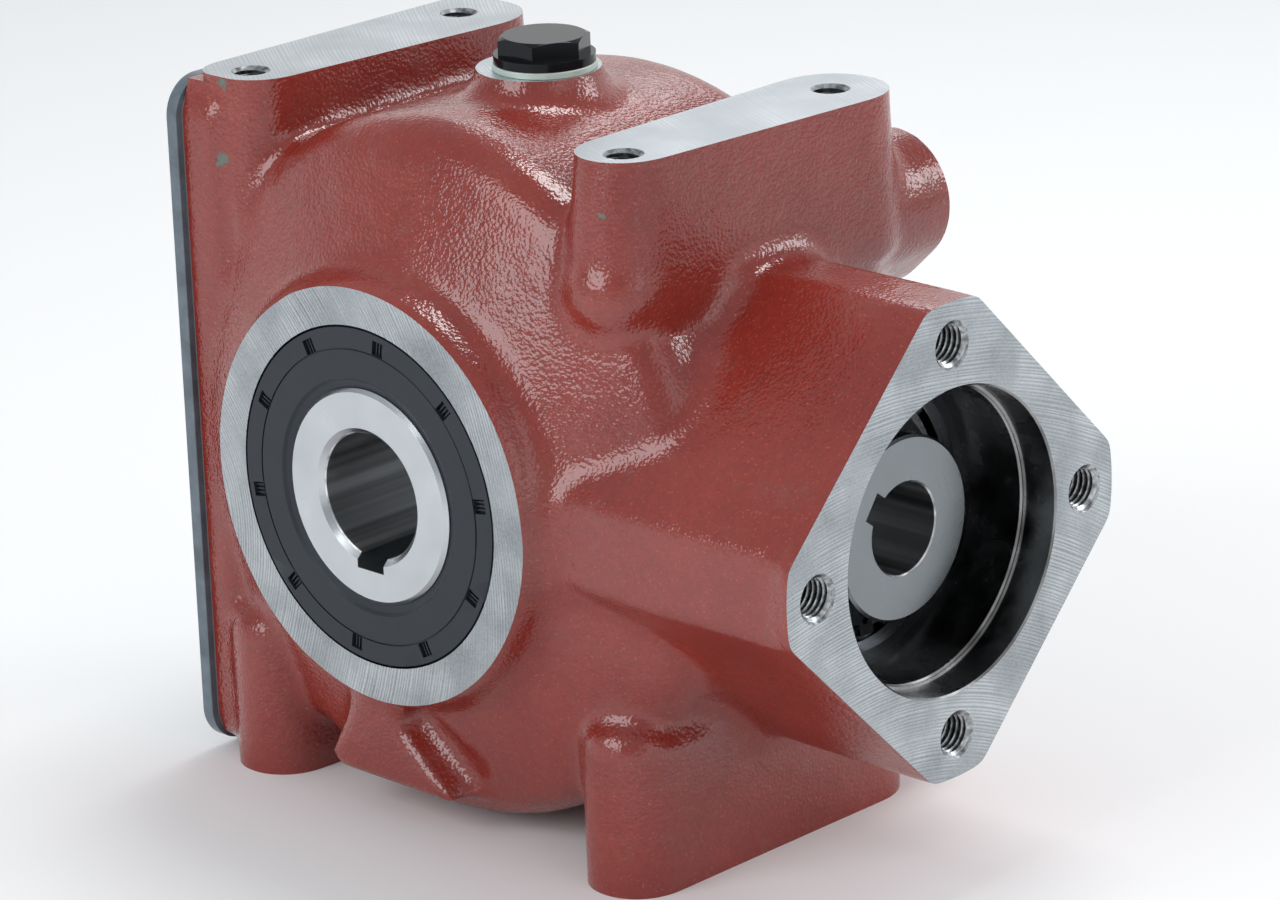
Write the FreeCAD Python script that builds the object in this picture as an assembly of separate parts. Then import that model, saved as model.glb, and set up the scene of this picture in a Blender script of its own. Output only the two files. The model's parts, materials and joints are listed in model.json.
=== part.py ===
import FreeCAD, Part
import math
import os
from FreeCAD import Vector as V

# Right-angle bevel gearbox, in millimetres.
# +X is the input axis and leaves the input flange, Y is the output axis, +Z is up.
# The origin is where the two shaft axes cross.

# Output side: hollow shaft, seals and bearings
output_bore = 35.0
output_bore_chamfer = 1.7
output_keyway_width = 10.0
output_keyway_depth = 3.3
output_seat = 60.0
output_collar_step = 6.0
crown_seat_step = 2.0
shaft_chamfer = 1.0
output_bearing_outer = 95.0
output_bearing_width = 18.0
output_ball_count = 12
output_circlip = 3.0
output_groove_depth = 2.0
output_circlip_reach = 3.6
seal_width = 10.0
seal_skin = 3.0
seal_edge = 0.6
seal_notches = 10
seal_notch_inset = 4.3
seal_notch_size = 4.0
seal_notch_depth = 1.6
spring_wire = 1.8

# Input side: flange, register, bore and hollow pinion shaft
input_pocket = 33.0
register_bore = 82.55
register_depth = 10.0
register_chamfer = 0.5
flange_square = 105.0
flange_corner_radius = 65.0
flange_turned = 3.0
flange_bolt_circle = 106.4
flange_bolt_drill = 10.2
flange_bolt_chamfer = 13.2
flange_bolt_depth = 24.0
input_bearing_bore = 50.0
input_bearing_outer = 80.0
input_bearing_width = 16.0
input_ball_count = 13
input_circlip = 2.5
input_groove_depth = 1.75
input_circlip_reach = 3.0
input_circlip_gap_angle = 20.0
shaft_circlip = 2.0
shaft_groove_depth = 1.5
shaft_circlip_reach = 4.3
shaft_circlip_gap_angle = -81.0
pinion_shaft_stub = 16.0
pinion_shaft_chamfer = 0.7
input_bore = 25.0
input_bore_depth = 50.0
input_bore_chamfer = 0.4
input_keyway_width = 8.0
input_keyway_depth = 3.3
input_keyway_angle = 143.4

# Bevel gears: straight teeth, axes at a right angle, one apex at the origin
module = 4.0
pinion_teeth = 12
crown_teeth = 36
face_width = 24.0
pressure_angle = 20.0
pinion_addendum = 1.409
crown_addendum = 2.0 - pinion_addendum
whole_depth = 2.2
backlash = 0.2
crown_rim = 12.0
crown_back_gap = 1.5
crown_hub_wall = 11.0
crown_hub_front = 8.0
output_shoulder = 5.5
pinion_shoulder = 4.0
pinion_head = 8.0
pinion_collar_gap = 1.6
key_width = 16.0
key_height = 10.0
key_length = 22.0
key_seat_depth = 6.0
shim = 0.5

# Housing casting
wall = 9.0
crown_room = 17.0
drum_slope = 14.4
drum_shoulder = 14.0
boss_wall = 11.5
boss_edge = 3.0
boss_height = 9.5
boss_draft = 1.5
boss_fillet = 5.0
bearing_boss_wall = 8.5
output_lip = 1.5
output_lip_depth = 4.0
input_lip = 2.0
input_lip_depth = 5.0
cover_room = 12.5
cover_flange_thickness = 8.5
cover_flange_width = 106.0
cover_flange_inset = 0.2
cover_flange_corner = 11.0
opening_frame_y = 11.0
opening_frame_z = 22.8
opening_corner = 14.0
opening_depth = 22.0
neck_width = 125.0
neck_height = 129.6
neck_root = 30.0

# Flat pad on the front wall: places left and right of the axis and below it
flat_pad_face = 60.0
flat_pad_left = 32.0
flat_pad_right = 21.5
flat_pad_top_left = 20.0
flat_pad_top_right = 7.5
flat_pad_top = 62.0
flat_pad_low = 84.5
flat_pad_bottom = 88.0
flat_pad_corner = 5.0

# Mounting pads above and below, drafted towards their rounded ends
pad_rise = 2.0
pad_hole_x = 70.0
pad_hole_y = 40.0
pad_hole_drill = 8.5
pad_hole_chamfer = 10.8
pad_hole_depth = 18.0
column_end = 52.0
column_round = 8.0
column_draft = 3.0
foot_draft = 0.5
top_front_inset_x = 2.5
top_front_inset_y = 3.0
top_front_radius = 12.75
foot_front_radius = 14.0
foot_front_y = 43.0
foot_left_inset = 3.0
pad_rear_radius = 15.5
left_rear_radius = 17.0

# Breather boss and plug; the tapped hole sits beside the middle of the cast boss
breather_seat = 32.0
breather_boss_rise = 6.0
breather_boss_foot = 46.0
breather_boss_x = 1.0
breather_x = 3.3
breather_thread = 20.0
washer_outer = 28.4
washer_thickness = 1.8
plug_collar = 27.7
plug_collar_height = 2.4
plug_hex = 22.4
plug_hex_height = 5.0
plug_vent = 3.0

# Rear lugs around the rear output face
lug_x = 67.0
lug_z = 63.5
lug_radius = 18.7
lug_root = 20.0
lug_ear = 11.0
lug_drill = 10.2
lug_hole_depth = 24.0

# Cover, gasket and cover bolts
gasket_thickness = 0.5
cover_thickness = 4.0
cover_overhang = 2.0
cover_bolt = 6.0
cover_bolt_hole = 6.6
cover_bolt_head = 12.6
cover_bolt_edge_y = 5.5
cover_bolt_edge_z = 9.8
cover_bolt_length = 16.0
cover_bolt_key = 4.0
cover_bolt_key_depth = 2.3

# Flush drain plug below and level plug beside the rear output face
socket_plug = 16.0
socket_plug_key = 8.0
drain_spot = 26.0
drain_inset = 1.0
level_x = 73.0
level_z = 20.0
level_boss = 26.0
level_boss_height = 3.5

# Bearing proportions and running gaps
ball_share = 0.6
race_land_share = 0.3
cage_share = 0.24
race_gap = 0.05
pocket_gap = 0.15
lip_gap = 0.05
key_gap = 0.2

# Circlip ears
ear_reach = 3.6
ear_width = 14.0
ear_gap = 4.0
ear_hole = 2.4

X = V(1, 0, 0)
Y = V(0, 1, 0)
Z = V(0, 0, 1)
ORIGIN = V(0, 0, 0)

# Places along the output axis, from the crown gear outwards
crown_back = module * pinion_teeth / 2 + crown_rim
output_boss_back = crown_back + crown_back_gap
output_bearing_back = output_boss_back + output_lip
crown_abutment = output_bearing_back - shim
output_bearing_face = output_bearing_back + output_bearing_width
seal_back = output_bearing_face + output_circlip
output_half = seal_back + seal_width

# Places along the input axis, from the pinion outwards
crown_radius = module * crown_teeth / 2
input_bearing_back = crown_radius + pinion_head
input_boss_back = input_bearing_back - shim - input_lip
input_bearing_middle = input_bearing_back + input_bearing_width
input_bearing_face = input_bearing_middle + input_bearing_width
pinion_shaft_end = input_bearing_face + pinion_shaft_stub
input_face = input_bearing_face + input_pocket

# Casting sizes that follow from what it holds
drum_radius = crown_radius + crown_room + wall
boss_foot = output_half - boss_height
drum_corner = boss_foot - drum_slope
boss_radius = output_bearing_outer / 2 + boss_wall
boss_foot_radius = boss_radius + boss_draft
cover_face = crown_radius + cover_room
cover_flange_height = 2 * (drum_radius - cover_flange_inset)
pad_height = drum_radius + pad_rise
breather_seat_height = drum_radius + breather_boss_rise
drain_face = drum_radius - drain_inset
opening_width = cover_flange_width - 2 * opening_frame_y
opening_height = cover_flange_height - 2 * opening_frame_z
cover_width = cover_flange_width + 2 * cover_overhang
cover_bolt_y = cover_flange_width / 2 - cover_bolt_edge_y
cover_bolt_z = cover_flange_height / 2 - cover_bolt_edge_z
cover_outside = cover_face + gasket_thickness + cover_thickness

# Shaft diameters that follow from the bearing bores
crown_seat = output_seat + 2 * crown_seat_step
output_collar = output_seat + 2 * output_collar_step
bearing_abutment = output_seat + 2 * output_shoulder
crown_hub = crown_seat + 2 * crown_hub_wall
pinion_collar = input_bearing_bore + 2 * pinion_shoulder


# Shape helpers
def across(axis):
    """A direction square to the axis, used as the zero of angles around it."""
    return Z if axis is not Z else X


def turned(profile, axis):
    """Solid of revolution from (radius, place along the axis) corners."""
    points = [across(axis) * r + axis * a for r, a in profile]
    face = Part.Face(Part.makePolygon(points + points[:1]))
    return face.revolve(ORIGIN, axis, 360)


def mirrored(profile):
    return [(r, -a) for r, a in profile]


def tube(outer, inner, start, end, axis):
    """Ring between two diameters and two places along an axis."""
    return turned([(inner / 2, start), (outer / 2, start), (outer / 2, end), (inner / 2, end)], axis)


def rod(diameter, base, axis, length):
    return Part.makeCylinder(diameter / 2, length, base, axis)


def block(x0, x1, y0, y1, z0, z1):
    return Part.makeBox(x1 - x0, y1 - y0, z1 - z0, V(x0, y0, z0))


def radial_bar(width, inner, outer, start, end, axis):
    """Straight bar lying across an axis, from one radius to another on its zero side."""
    bar = block(-width / 2, width / 2, start, end, inner, outer)
    if axis is X:
        bar.rotate(ORIGIN, Z, -90)
    return bar


def rounded_panel(x0, x1, width, height, corner):
    """Upright panel square to X, with rounded corners."""
    body = block(x0, x1, -width / 2, width / 2, -height / 2, height / 2)
    edges = [edge for edge in body.Edges if edge.BoundBox.XLength > (x1 - x0) / 2]
    return body.makeFillet(corner, edges)


def spun(shape, axis, degrees):
    copy = shape.copy()
    copy.rotate(ORIGIN, axis, degrees)
    return copy


def around(shape, axis, count):
    return [spun(shape, axis, 360.0 * i / count) for i in range(count)]


def ring_edges(shape, radius, place, axis):
    """Circular edges of one radius at one place along an axis."""
    found = []
    for edge in shape.Edges:
        curve = edge.Curve
        if isinstance(curve, Part.Circle) and abs(curve.Radius - radius) < 0.01:
            if abs(curve.Center.dot(axis) - place) < 0.01:
                found.append(edge)
    return found


def hull_wire(first, first_radius, second, second_radius, height):
    """Outline of two circles and the tangent lines between them, at one height."""
    dx = second[0] - first[0]
    dy = second[1] - first[1]
    along = math.atan2(dy, dx)
    lean = math.acos((first_radius - second_radius) / math.hypot(dx, dy))

    def on(centre, radius, angle):
        return V(centre[0] + radius * math.cos(angle), centre[1] + radius * math.sin(angle), height)

    start = on(first, first_radius, along + lean)
    turn = on(first, first_radius, along + math.pi)
    leave = on(first, first_radius, along - lean)
    meet = on(second, second_radius, along - lean)
    far = on(second, second_radius, along)
    back = on(second, second_radius, along + lean)
    return Part.Wire([Part.Arc(start, turn, leave).toShape(), Part.makeLine(leave, meet),
                      Part.Arc(meet, far, back).toShape(), Part.makeLine(back, start)])


def tapped_hole(mouth, inward, drill, chamfer, depth):
    """Drilled hole with a chamfered mouth and a drill point."""
    hole = rod(drill, mouth, inward, depth)
    point = Part.makeCone(drill / 2, 0, drill * 0.3, mouth + inward * depth, inward)
    edge = (chamfer - drill) / 2
    mouth_cone = Part.makeCone(chamfer / 2, drill / 2, edge, mouth, inward)
    return hole.fuse([point, mouth_cone])


def hexagon(across_flats, base, height):
    """Upright hexagonal prism with a corner along X."""
    radius = across_flats / math.sqrt(3)
    corners = [base + V(radius * math.cos(math.radians(60 * i)), radius * math.sin(math.radians(60 * i)), 0)
               for i in range(6)]
    return Part.Face(Part.makePolygon(corners + corners[:1])).extrude(Z * height)


# Housing
def drum():
    """Drum on the output axis with conical walls, rounded shoulders and a boss at each face."""
    half = [(0, output_half), (boss_radius, output_half), (boss_foot_radius, boss_foot),
            (drum_radius, drum_corner)]
    body = turned(mirrored(half) + half[::-1], Y)
    for radius, place, fillet in ((drum_radius, drum_corner, drum_shoulder),
                                  (boss_foot_radius, boss_foot, boss_fillet),
                                  (boss_radius, output_half, boss_edge)):
        edges = ring_edges(body, radius, place, Y) + ring_edges(body, radius, -place, Y)
        body = body.makeFillet(fillet, edges)
    return body


def neck():
    """Square neck standing on a corner, with flats, ending in the turned flange."""
    half = flange_square / 2
    body = Part.makeBox(input_face - neck_root, flange_square, flange_square, V(neck_root, -half, -half))
    body.rotate(ORIGIN, X, 45)
    flats = block(neck_root, input_face - flange_turned, -neck_width / 2, neck_width / 2,
                  -neck_height / 2, neck_height / 2)
    turned_end = rod(2 * flange_corner_radius, X * (input_face - flange_turned), X, flange_turned)
    return body.common(flats.fuse(turned_end))


def pad_column(front, front_radius, rear, rear_radius, side, draft):
    """Mounting pad: outline at the machined face, drafted to a rounded end in the drum."""
    face = hull_wire(front, front_radius, rear, rear_radius, pad_height)
    foot = hull_wire(front, front_radius + draft, rear, rear_radius + draft, column_end)
    body = Part.makeLoft([face, foot], True, True)
    ends = [edge for edge in body.Edges if edge.BoundBox.ZMax < column_end + 0.01]
    body = body.makeFillet(column_round, ends)
    return body if side > 0 else body.mirror(ORIGIN, Z)


def pads():
    """Two pads above and two below; the upper one on the cover side is backed up to the cover flange."""
    rear = (pad_hole_x, pad_hole_y)
    top = (pad_hole_x - top_front_inset_x, -pad_hole_y + top_front_inset_y)
    foot = (pad_hole_x, -foot_front_y)
    shapes = []
    for side, front, radius, draft, inset in ((1, top, top_front_radius, column_draft, 0),
                                              (-1, foot, foot_front_radius, foot_draft, foot_left_inset)):
        shapes.append(pad_column(front, radius, rear, pad_rear_radius, side, draft))
        left_front = (inset - pad_hole_x, front[1])
        left_rear = (inset - pad_hole_x + left_rear_radius - pad_rear_radius, pad_hole_y)
        shapes.append(pad_column(left_front, radius, left_rear, left_rear_radius, side, draft))
    low, high = column_end + column_round, pad_height
    backing_end = pad_hole_y + left_rear_radius
    shapes.append(block(-cover_face, -pad_hole_x, top[1] - top_front_radius, backing_end, low, high))
    return shapes


def cover_flange():
    return rounded_panel(-cover_face, -cover_face + cover_flange_thickness, cover_flange_width,
                         cover_flange_height, cover_flange_corner)


def breather_boss():
    foot = drum_radius - wall / 2
    height = breather_seat_height - foot
    return Part.makeCone(breather_boss_foot / 2, breather_seat / 2, height, V(breather_boss_x, 0, foot), Z)


def flat_pad():
    """Flat four-sided pad on the front wall below the output boss."""
    corners = [(-flat_pad_top_left, -flat_pad_top), (-flat_pad_left, -flat_pad_low),
               (flat_pad_corner - flat_pad_left, -flat_pad_bottom),
               (flat_pad_right - flat_pad_corner / 2, -flat_pad_bottom),
               (flat_pad_right, -flat_pad_low), (-flat_pad_top_right, -flat_pad_top)]
    points = [V(x, -flat_pad_face, z) for x, z in corners]
    depth = flat_pad_face - drum_corner + wall
    return Part.Face(Part.makePolygon(points + points[:1])).extrude(Y * depth)


def lug(side_x, side_z):
    """Round lug flush with the rear output face, with an ear towards the drum."""
    centre = (side_x * lug_x, side_z * lug_z)
    reach = math.hypot(lug_x, lug_z)
    inner = (centre[0] * (1 - lug_ear / reach), centre[1] * (1 - lug_ear / reach))
    outline = hull_wire(centre, lug_radius, inner, lug_radius - 0.01, -output_half)
    body = Part.Face(outline).extrude(Z * (output_half - lug_root))
    return spun(body, X, 90)


def lugs():
    return [lug(sx, sz) for sx in (-1, 1) for sz in (-1, 1)]


def wall_place(radius):
    """Place along the output axis where the conical wall has this radius."""
    return drum_corner + drum_slope * (drum_radius - radius) / (drum_radius - boss_foot_radius)


def level_face():
    return wall_place(math.hypot(level_x, level_z)) + level_boss_height


def cover_opening(x0, x1):
    return rounded_panel(x0, x1, opening_width, opening_height, opening_corner)


def cavity():
    """Gear space: the drum's own shape one wall in, open to the cover."""
    slope = drum_slope / (drum_radius - boss_foot_radius)
    inner_radius = drum_radius - wall
    boss_bore = output_bearing_outer / 2 + bearing_boss_wall
    outer_place = drum_corner - wall + slope * wall
    centre_place = outer_place + slope * (inner_radius - boss_bore)
    half = [(0, centre_place), (boss_bore, centre_place), (inner_radius, outer_place)]
    space = turned(mirrored(half) + half[::-1], Y)
    space = space.fuse(cover_opening(-cover_face, -cover_face + opening_depth))
    for side in (-1, 1):
        boss_start = Y * (side * output_boss_back)
        space = space.cut(rod(2 * boss_bore, boss_start, Y * side, output_half))
    input_boss = input_bearing_outer + 2 * bearing_boss_wall
    return space.cut(rod(input_boss, X * input_boss_back, X, input_face))


def output_bore_cut(side):
    """Seat for one output bearing, its circlip and its seal."""
    bore = output_bearing_outer
    groove = bore + 2 * output_groove_depth
    seat = rod(bore, Y * (side * output_bearing_back), Y * side, output_half)
    lip = rod(bore - 2 * output_lip_depth, Y * (side * (output_boss_back - wall)), Y * side, output_half)
    ring = rod(groove, Y * (side * output_bearing_face), Y * side, output_circlip)
    return seat.fuse([lip, ring])


def input_bore_cut():
    bore = input_bearing_outer
    seat = rod(bore, X * (input_bearing_back - shim), X, input_face)
    lip = rod(bore - 2 * input_lip_depth, X * (input_boss_back - wall), X, input_face)
    register = rod(register_bore, X * (input_face - register_depth), X, input_face)
    edge = Part.makeCone(register_bore / 2, register_bore / 2 + register_chamfer, register_chamfer,
                         X * (input_face - register_chamfer), X)
    ring = rod(bore + 2 * input_groove_depth, X * input_bearing_face, X, input_circlip)
    return seat.fuse([lip, register, edge, ring])


def housing_holes():
    """Tapped holes for the input flange, the four pads and the rear lugs."""
    holes = []
    bolt_radius = flange_bolt_circle / 2
    for y, z in ((0, 1), (0, -1), (1, 0), (-1, 0)):
        mouth = V(input_face, y * bolt_radius, z * bolt_radius)
        holes.append(tapped_hole(mouth, -X, flange_bolt_drill, flange_bolt_chamfer, flange_bolt_depth))
    for sx in (-1, 1):
        for sy in (-1, 1):
            for sz in (-1, 1):
                mouth = V(sx * pad_hole_x, sy * pad_hole_y, sz * pad_height)
                holes.append(tapped_hole(mouth, Z * -sz, pad_hole_drill, pad_hole_chamfer, pad_hole_depth))
        for sz in (-1, 1):
            mouth = V(sx * lug_x, output_half, sz * lug_z)
            holes.append(tapped_hole(mouth, -Y, lug_drill, flange_bolt_chamfer, lug_hole_depth))
    return holes


def cover_bolt_places():
    """Middle of each cover bolt: four corners and the middle of each side."""
    places = [(sy * cover_bolt_y, sz * cover_bolt_z) for sy in (-1, 1) for sz in (-1, 1)]
    places += [(sy * cover_bolt_y, 0) for sy in (-1, 1)]
    places += [(0, sz * cover_bolt_z) for sz in (-1, 1)]
    return places


def housing():
    level_mouth = V(-level_x, level_face(), -level_z)
    body = drum().fuse([neck(), cover_flange(), breather_boss(), flat_pad()] + pads() + lugs())
    body = body.fuse(rod(level_boss, level_mouth, -Y, wall + level_boss_height))
    far = 2 * drum_radius
    body = body.cut(block(-far, -cover_face, -far, far, -far, far))
    body = body.cut(cavity())
    cuts = [input_bore_cut(), output_bore_cut(-1), output_bore_cut(1)] + housing_holes()
    cuts.append(rod(breather_thread, V(breather_x, 0, drum_radius - 2 * wall), Z, drum_radius))
    cuts.append(rod(socket_plug, Z * -drum_radius, Z, 2 * wall))
    cuts.append(rod(drain_spot, Z * -drain_face, -Z, wall))
    cuts.append(rod(socket_plug, level_mouth, -Y, 2 * wall))
    bolt_depth = cover_bolt_length - cover_thickness - gasket_thickness
    for y, z in cover_bolt_places():
        cuts.append(rod(cover_bolt, V(-cover_face, y, z), X, bolt_depth))
    for cutter in cuts:
        body = body.cut(cutter)
    return body.removeSplitter()


# Cover side
def cover_outline(width, thickness, start):
    return rounded_panel(start - thickness, start, width, cover_flange_height, cover_flange_corner)


def bolt_holes(diameter):
    return [rod(diameter, V(-2 * cover_face, y, z), X, 2 * cover_face) for y, z in cover_bolt_places()]


def cover_gasket():
    body = cover_outline(cover_flange_width, gasket_thickness, -cover_face)
    return body.cut([cover_opening(-2 * cover_face, 0)] + bolt_holes(cover_bolt_hole))


def cover():
    start = -cover_face - gasket_thickness
    holes = bolt_holes(cover_bolt_hole) + [bolt_head(y, z) for y, z in cover_bolt_places()]
    return cover_outline(cover_width, cover_thickness, start).cut(holes)


def bolt_head(y, z):
    """Countersunk head, flush with the cover's outside."""
    height = (cover_bolt_head - cover_bolt) / 2
    return Part.makeCone(cover_bolt_head / 2, cover_bolt / 2, height, V(-cover_outside, y, z), X)


def cover_bolts():
    """Eight countersunk bolts, one solid each."""
    bolts = []
    for y, z in cover_bolt_places():
        socket = hexagon(cover_bolt_key, ORIGIN, cover_bolt_key_depth)
        socket.rotate(ORIGIN, Y, 90)
        socket.translate(V(-cover_outside, y, z))
        shank = rod(cover_bolt, V(-cover_outside, y, z), X, cover_bolt_length)
        bolts.append(bolt_head(y, z).fuse(shank).cut(socket).removeSplitter())
    return Part.makeCompound(bolts)


# Plugs
def breather_plug():
    """Collared hexagon plug with a chamfered top, its thread and a vent from below."""
    base = V(breather_x, 0, breather_seat_height + washer_thickness)
    collar = rod(plug_collar, base, Z, plug_collar_height)
    top = base + Z * plug_collar_height
    head = hexagon(plug_hex, top, plug_hex_height)
    crown = Part.makeCone(plug_hex / 2 + 2 * plug_hex_height, plug_hex / 2, plug_hex_height, top, Z)
    seat = V(breather_x, 0, drum_radius - wall)
    thread = rod(breather_thread, seat, Z, base.z - seat.z)
    vent = rod(plug_vent, seat, Z, base.z - seat.z)
    return collar.fuse([head.common(crown), thread]).cut(vent).removeSplitter()


def breather_washer():
    start = breather_seat_height
    ring = tube(washer_outer, breather_thread, start, start + washer_thickness, Z)
    ring.translate(X * breather_x)
    return ring


def socket_plug_solid(mouth, inward, length):
    """Flush threaded plug with a hexagon socket."""
    body = rod(socket_plug, mouth, inward, length)
    key = hexagon(socket_plug_key, ORIGIN, length / 2)
    if inward == -Y:
        key.rotate(ORIGIN, X, 90)
    key.translate(mouth)
    return body.cut(key)


def drain_plug():
    return socket_plug_solid(Z * -drain_face, Z, wall - drain_inset)


def level_plug():
    return socket_plug_solid(V(-level_x, level_face(), -level_z), -Y, wall)


# Bearings, seals and circlips
class Bearing:
    """Deep-groove ball bearing between two places on an axis."""

    def __init__(self, bore, outer, width, count, start, axis):
        self.bore = bore
        self.outer = outer
        self.width = width
        self.count = count
        self.start = start
        self.axis = axis
        self.pitch = (bore + outer) / 4
        self.ball = ball_share * (outer - bore) / 2
        self.land = self.ball * race_land_share
        self.middle = start + width / 2

    def race(self):
        return Part.makeTorus(self.pitch, self.ball / 2 + race_gap, self.axis * self.middle, self.axis)

    def outer_ring(self):
        ring = tube(self.outer, 2 * (self.pitch + self.land), self.start, self.start + self.width, self.axis)
        return ring.cut(self.race())

    def inner_ring(self):
        ring = tube(2 * (self.pitch - self.land), self.bore, self.start, self.start + self.width, self.axis)
        return ring.cut(self.race())

    def ball_places(self):
        first = Part.Vertex(across(self.axis) * self.pitch + self.axis * self.middle)
        return [place.Point for place in around(first, self.axis, self.count)]

    def balls(self):
        return Part.makeCompound([Part.makeSphere(self.ball / 2, place) for place in self.ball_places()])

    def cage(self):
        thickness = self.ball * cage_share
        half = self.ball / 2 + (self.width - self.ball) / 4
        ring = tube(2 * self.pitch + thickness, 2 * self.pitch - thickness, self.middle - half,
                    self.middle + half, self.axis)
        out = across(self.axis)
        start = out * (self.pitch - thickness) + self.axis * self.middle
        pocket = rod(self.ball + 2 * pocket_gap, start, out, 2 * thickness)
        return spun(ring, self.axis, 180.0 / self.count).cut(around(pocket, self.axis, self.count))

    def pieces(self, name):
        return {name + "_outer_ring": self.outer_ring(), name + "_inner_ring": self.inner_ring(),
                name + "_balls": self.balls(), name + "_cage": self.cage()}


def output_bearing(start):
    return Bearing(output_seat, output_bearing_outer, output_bearing_width, output_ball_count, start, Y)


def input_bearing(start):
    return Bearing(input_bearing_bore, input_bearing_outer, input_bearing_width, input_ball_count, start, X)


def seal_lip_groove():
    """Radius of the garter groove behind the sealing lip."""
    return output_seat / 2 + lip_gap + 1.5 * seal_skin


def seal(side):
    """Rotary shaft seal with a flush face, small notches, a dust lip and a sprung lip."""
    outer = output_bearing_outer / 2
    lip = output_seat / 2 + lip_gap
    face = output_half
    step = seal_width / 10
    back = face - 7.4 * step
    shape = [(outer - seal_skin, seal_back), (outer, seal_back), (outer, face - seal_edge),
             (outer - seal_edge, face), (lip + seal_skin, face), (lip + 0.7 * seal_skin, face - 0.8 * step),
             (lip, face - 1.4 * step), (lip, face - 2.0 * step), (lip + seal_skin, face - 2.6 * step),
             (lip + seal_skin, face - 3.4 * step), (lip, face - 4.8 * step), (lip, face - 5.2 * step),
             (lip + 0.5 * seal_skin, back), (seal_lip_groove(), back), (seal_lip_groove(), face - seal_skin),
             (outer - seal_skin, face - seal_skin)]
    ring = turned(shape, Y)
    middle = outer - seal_notch_inset
    notch = radial_bar(seal_notch_size, middle - seal_notch_size / 2, middle + seal_notch_size / 2,
                       face - seal_notch_depth, face + seal_edge, Y)
    ring = ring.cut(around(spun(notch, Y, 90.0 / seal_notches), Y, seal_notches))
    return ring if side > 0 else ring.mirror(ORIGIN, Y)


def garter_spring(side):
    """Spring in the groove of the seal lip."""
    place = output_half - 0.62 * seal_width
    return Part.makeTorus(seal_lip_groove() + spring_wire / 2, spring_wire / 2, Y * (side * place), Y)


def circlip(root, tip, start, width, axis, gap_angle):
    """Open spring ring from its groove radius to its free edge, with two drilled ears at the gap."""
    out = 1 if tip > root else -1
    ear_tip = tip + out * ear_reach
    low, high = sorted((root, tip))
    ear_low, ear_high = sorted((root, ear_tip))
    end = start + width
    ears = radial_bar(ear_width, 0, 2 * ear_high, start, end, axis)
    ears = ears.common(tube(2 * ear_high, 2 * ear_low, start, end, axis))
    ring = tube(2 * high, 2 * low, start, end, axis).fuse(ears)
    cuts = [radial_bar(ear_gap, ear_low - width, ear_high + width, start, end, axis)]
    across_ears = axis.cross(across(axis)) * ((ear_width + ear_gap) / 4)
    middle = across(axis) * ((root + ear_tip) / 2) + axis * start
    for place in (middle - across_ears, middle + across_ears):
        cuts.append(rod(ear_hole, place, axis, width))
    return spun(ring.cut(cuts), axis, gap_angle)


# Bevel gears
class BevelGear:
    """Straight bevel gear with spherical involute flanks; its axis is Z and its apex the origin."""

    def __init__(self, teeth, mate_teeth, addendum, shift_side):
        self.teeth = teeth
        self.pitch = math.atan2(teeth, mate_teeth)
        self.cone = module * math.hypot(teeth, mate_teeth) / 2
        self.base = math.asin(math.sin(self.pitch) * math.cos(math.radians(pressure_angle)))
        self.tip = self.pitch + math.atan2(addendum * module, self.cone)
        self.root = self.pitch - math.atan2((whole_depth - addendum) * module, self.cone)
        extra = (pinion_addendum - crown_addendum) * module * math.tan(math.radians(pressure_angle))
        thickness = math.pi * module / 2 + shift_side * extra - backlash / 2
        self.half_tooth = thickness / (module * teeth)

    def roll(self, polar):
        """Azimuth that the involute has turned through at one polar angle."""
        arc = math.acos(min(1.0, math.cos(polar) / math.cos(self.base)))
        return arc / math.sin(self.base) - math.atan2(math.tan(arc), math.sin(self.base))

    def half_space(self, polar):
        """Half the angle of a tooth space at one polar angle."""
        tooth = self.half_tooth + self.roll(self.pitch) - self.roll(max(polar, self.base))
        return math.pi / self.teeth - tooth

    def corner(self, polar, distance):
        """(radius, place) where a cone meets the plane square to the pitch line at a distance."""
        reach = distance / math.cos(polar - self.pitch)
        return (reach * math.sin(polar), reach * math.cos(polar))

    def space_outline(self, distance):
        """Outline of one tooth space on that plane, centred on azimuth 0."""
        def place(polar, azimuth):
            radius = math.sin(polar)
            ray = V(radius * math.cos(azimuth), radius * math.sin(azimuth), math.cos(polar))
            square = V(math.sin(self.pitch), 0, math.cos(self.pitch))
            return ray * (distance / ray.dot(square))

        top = self.tip + (self.tip - self.root) * 0.12
        start = max(self.root, self.base)
        steps = 9
        polars = [start + (top - start) * i / steps for i in range(steps + 1)]
        edges = []
        for side in (1, -1):
            flank = Part.BSplineCurve()
            flank.interpolate([place(p, side * self.half_space(p)) for p in polars])
            edges.append(flank.toShape())
            if self.root < self.base:
                edges.append(Part.makeLine(place(self.root, side * self.half_space(self.root)),
                                           place(start, side * self.half_space(start))))
        edges.append(Part.makeLine(place(self.root, self.half_space(self.root)),
                                   place(self.root, -self.half_space(self.root))))
        edges.append(Part.makeLine(place(top, self.half_space(top)), place(top, -self.half_space(top))))
        return Part.Wire(Part.__sortEdges__(edges))

    def spaces(self):
        """Every tooth space as a wedge from inside the toe to outside the heel."""
        inner = self.space_outline((self.cone - face_width) * 0.9)
        outer = self.space_outline(self.cone * 1.08)
        wedge = Part.makeLoft([inner, outer], True, True)
        return around(wedge, Z, self.teeth)


def crown_gear_data():
    return BevelGear(crown_teeth, pinion_teeth, crown_addendum, -1)


def pinion_data():
    return BevelGear(pinion_teeth, crown_teeth, pinion_addendum, 1)


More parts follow.
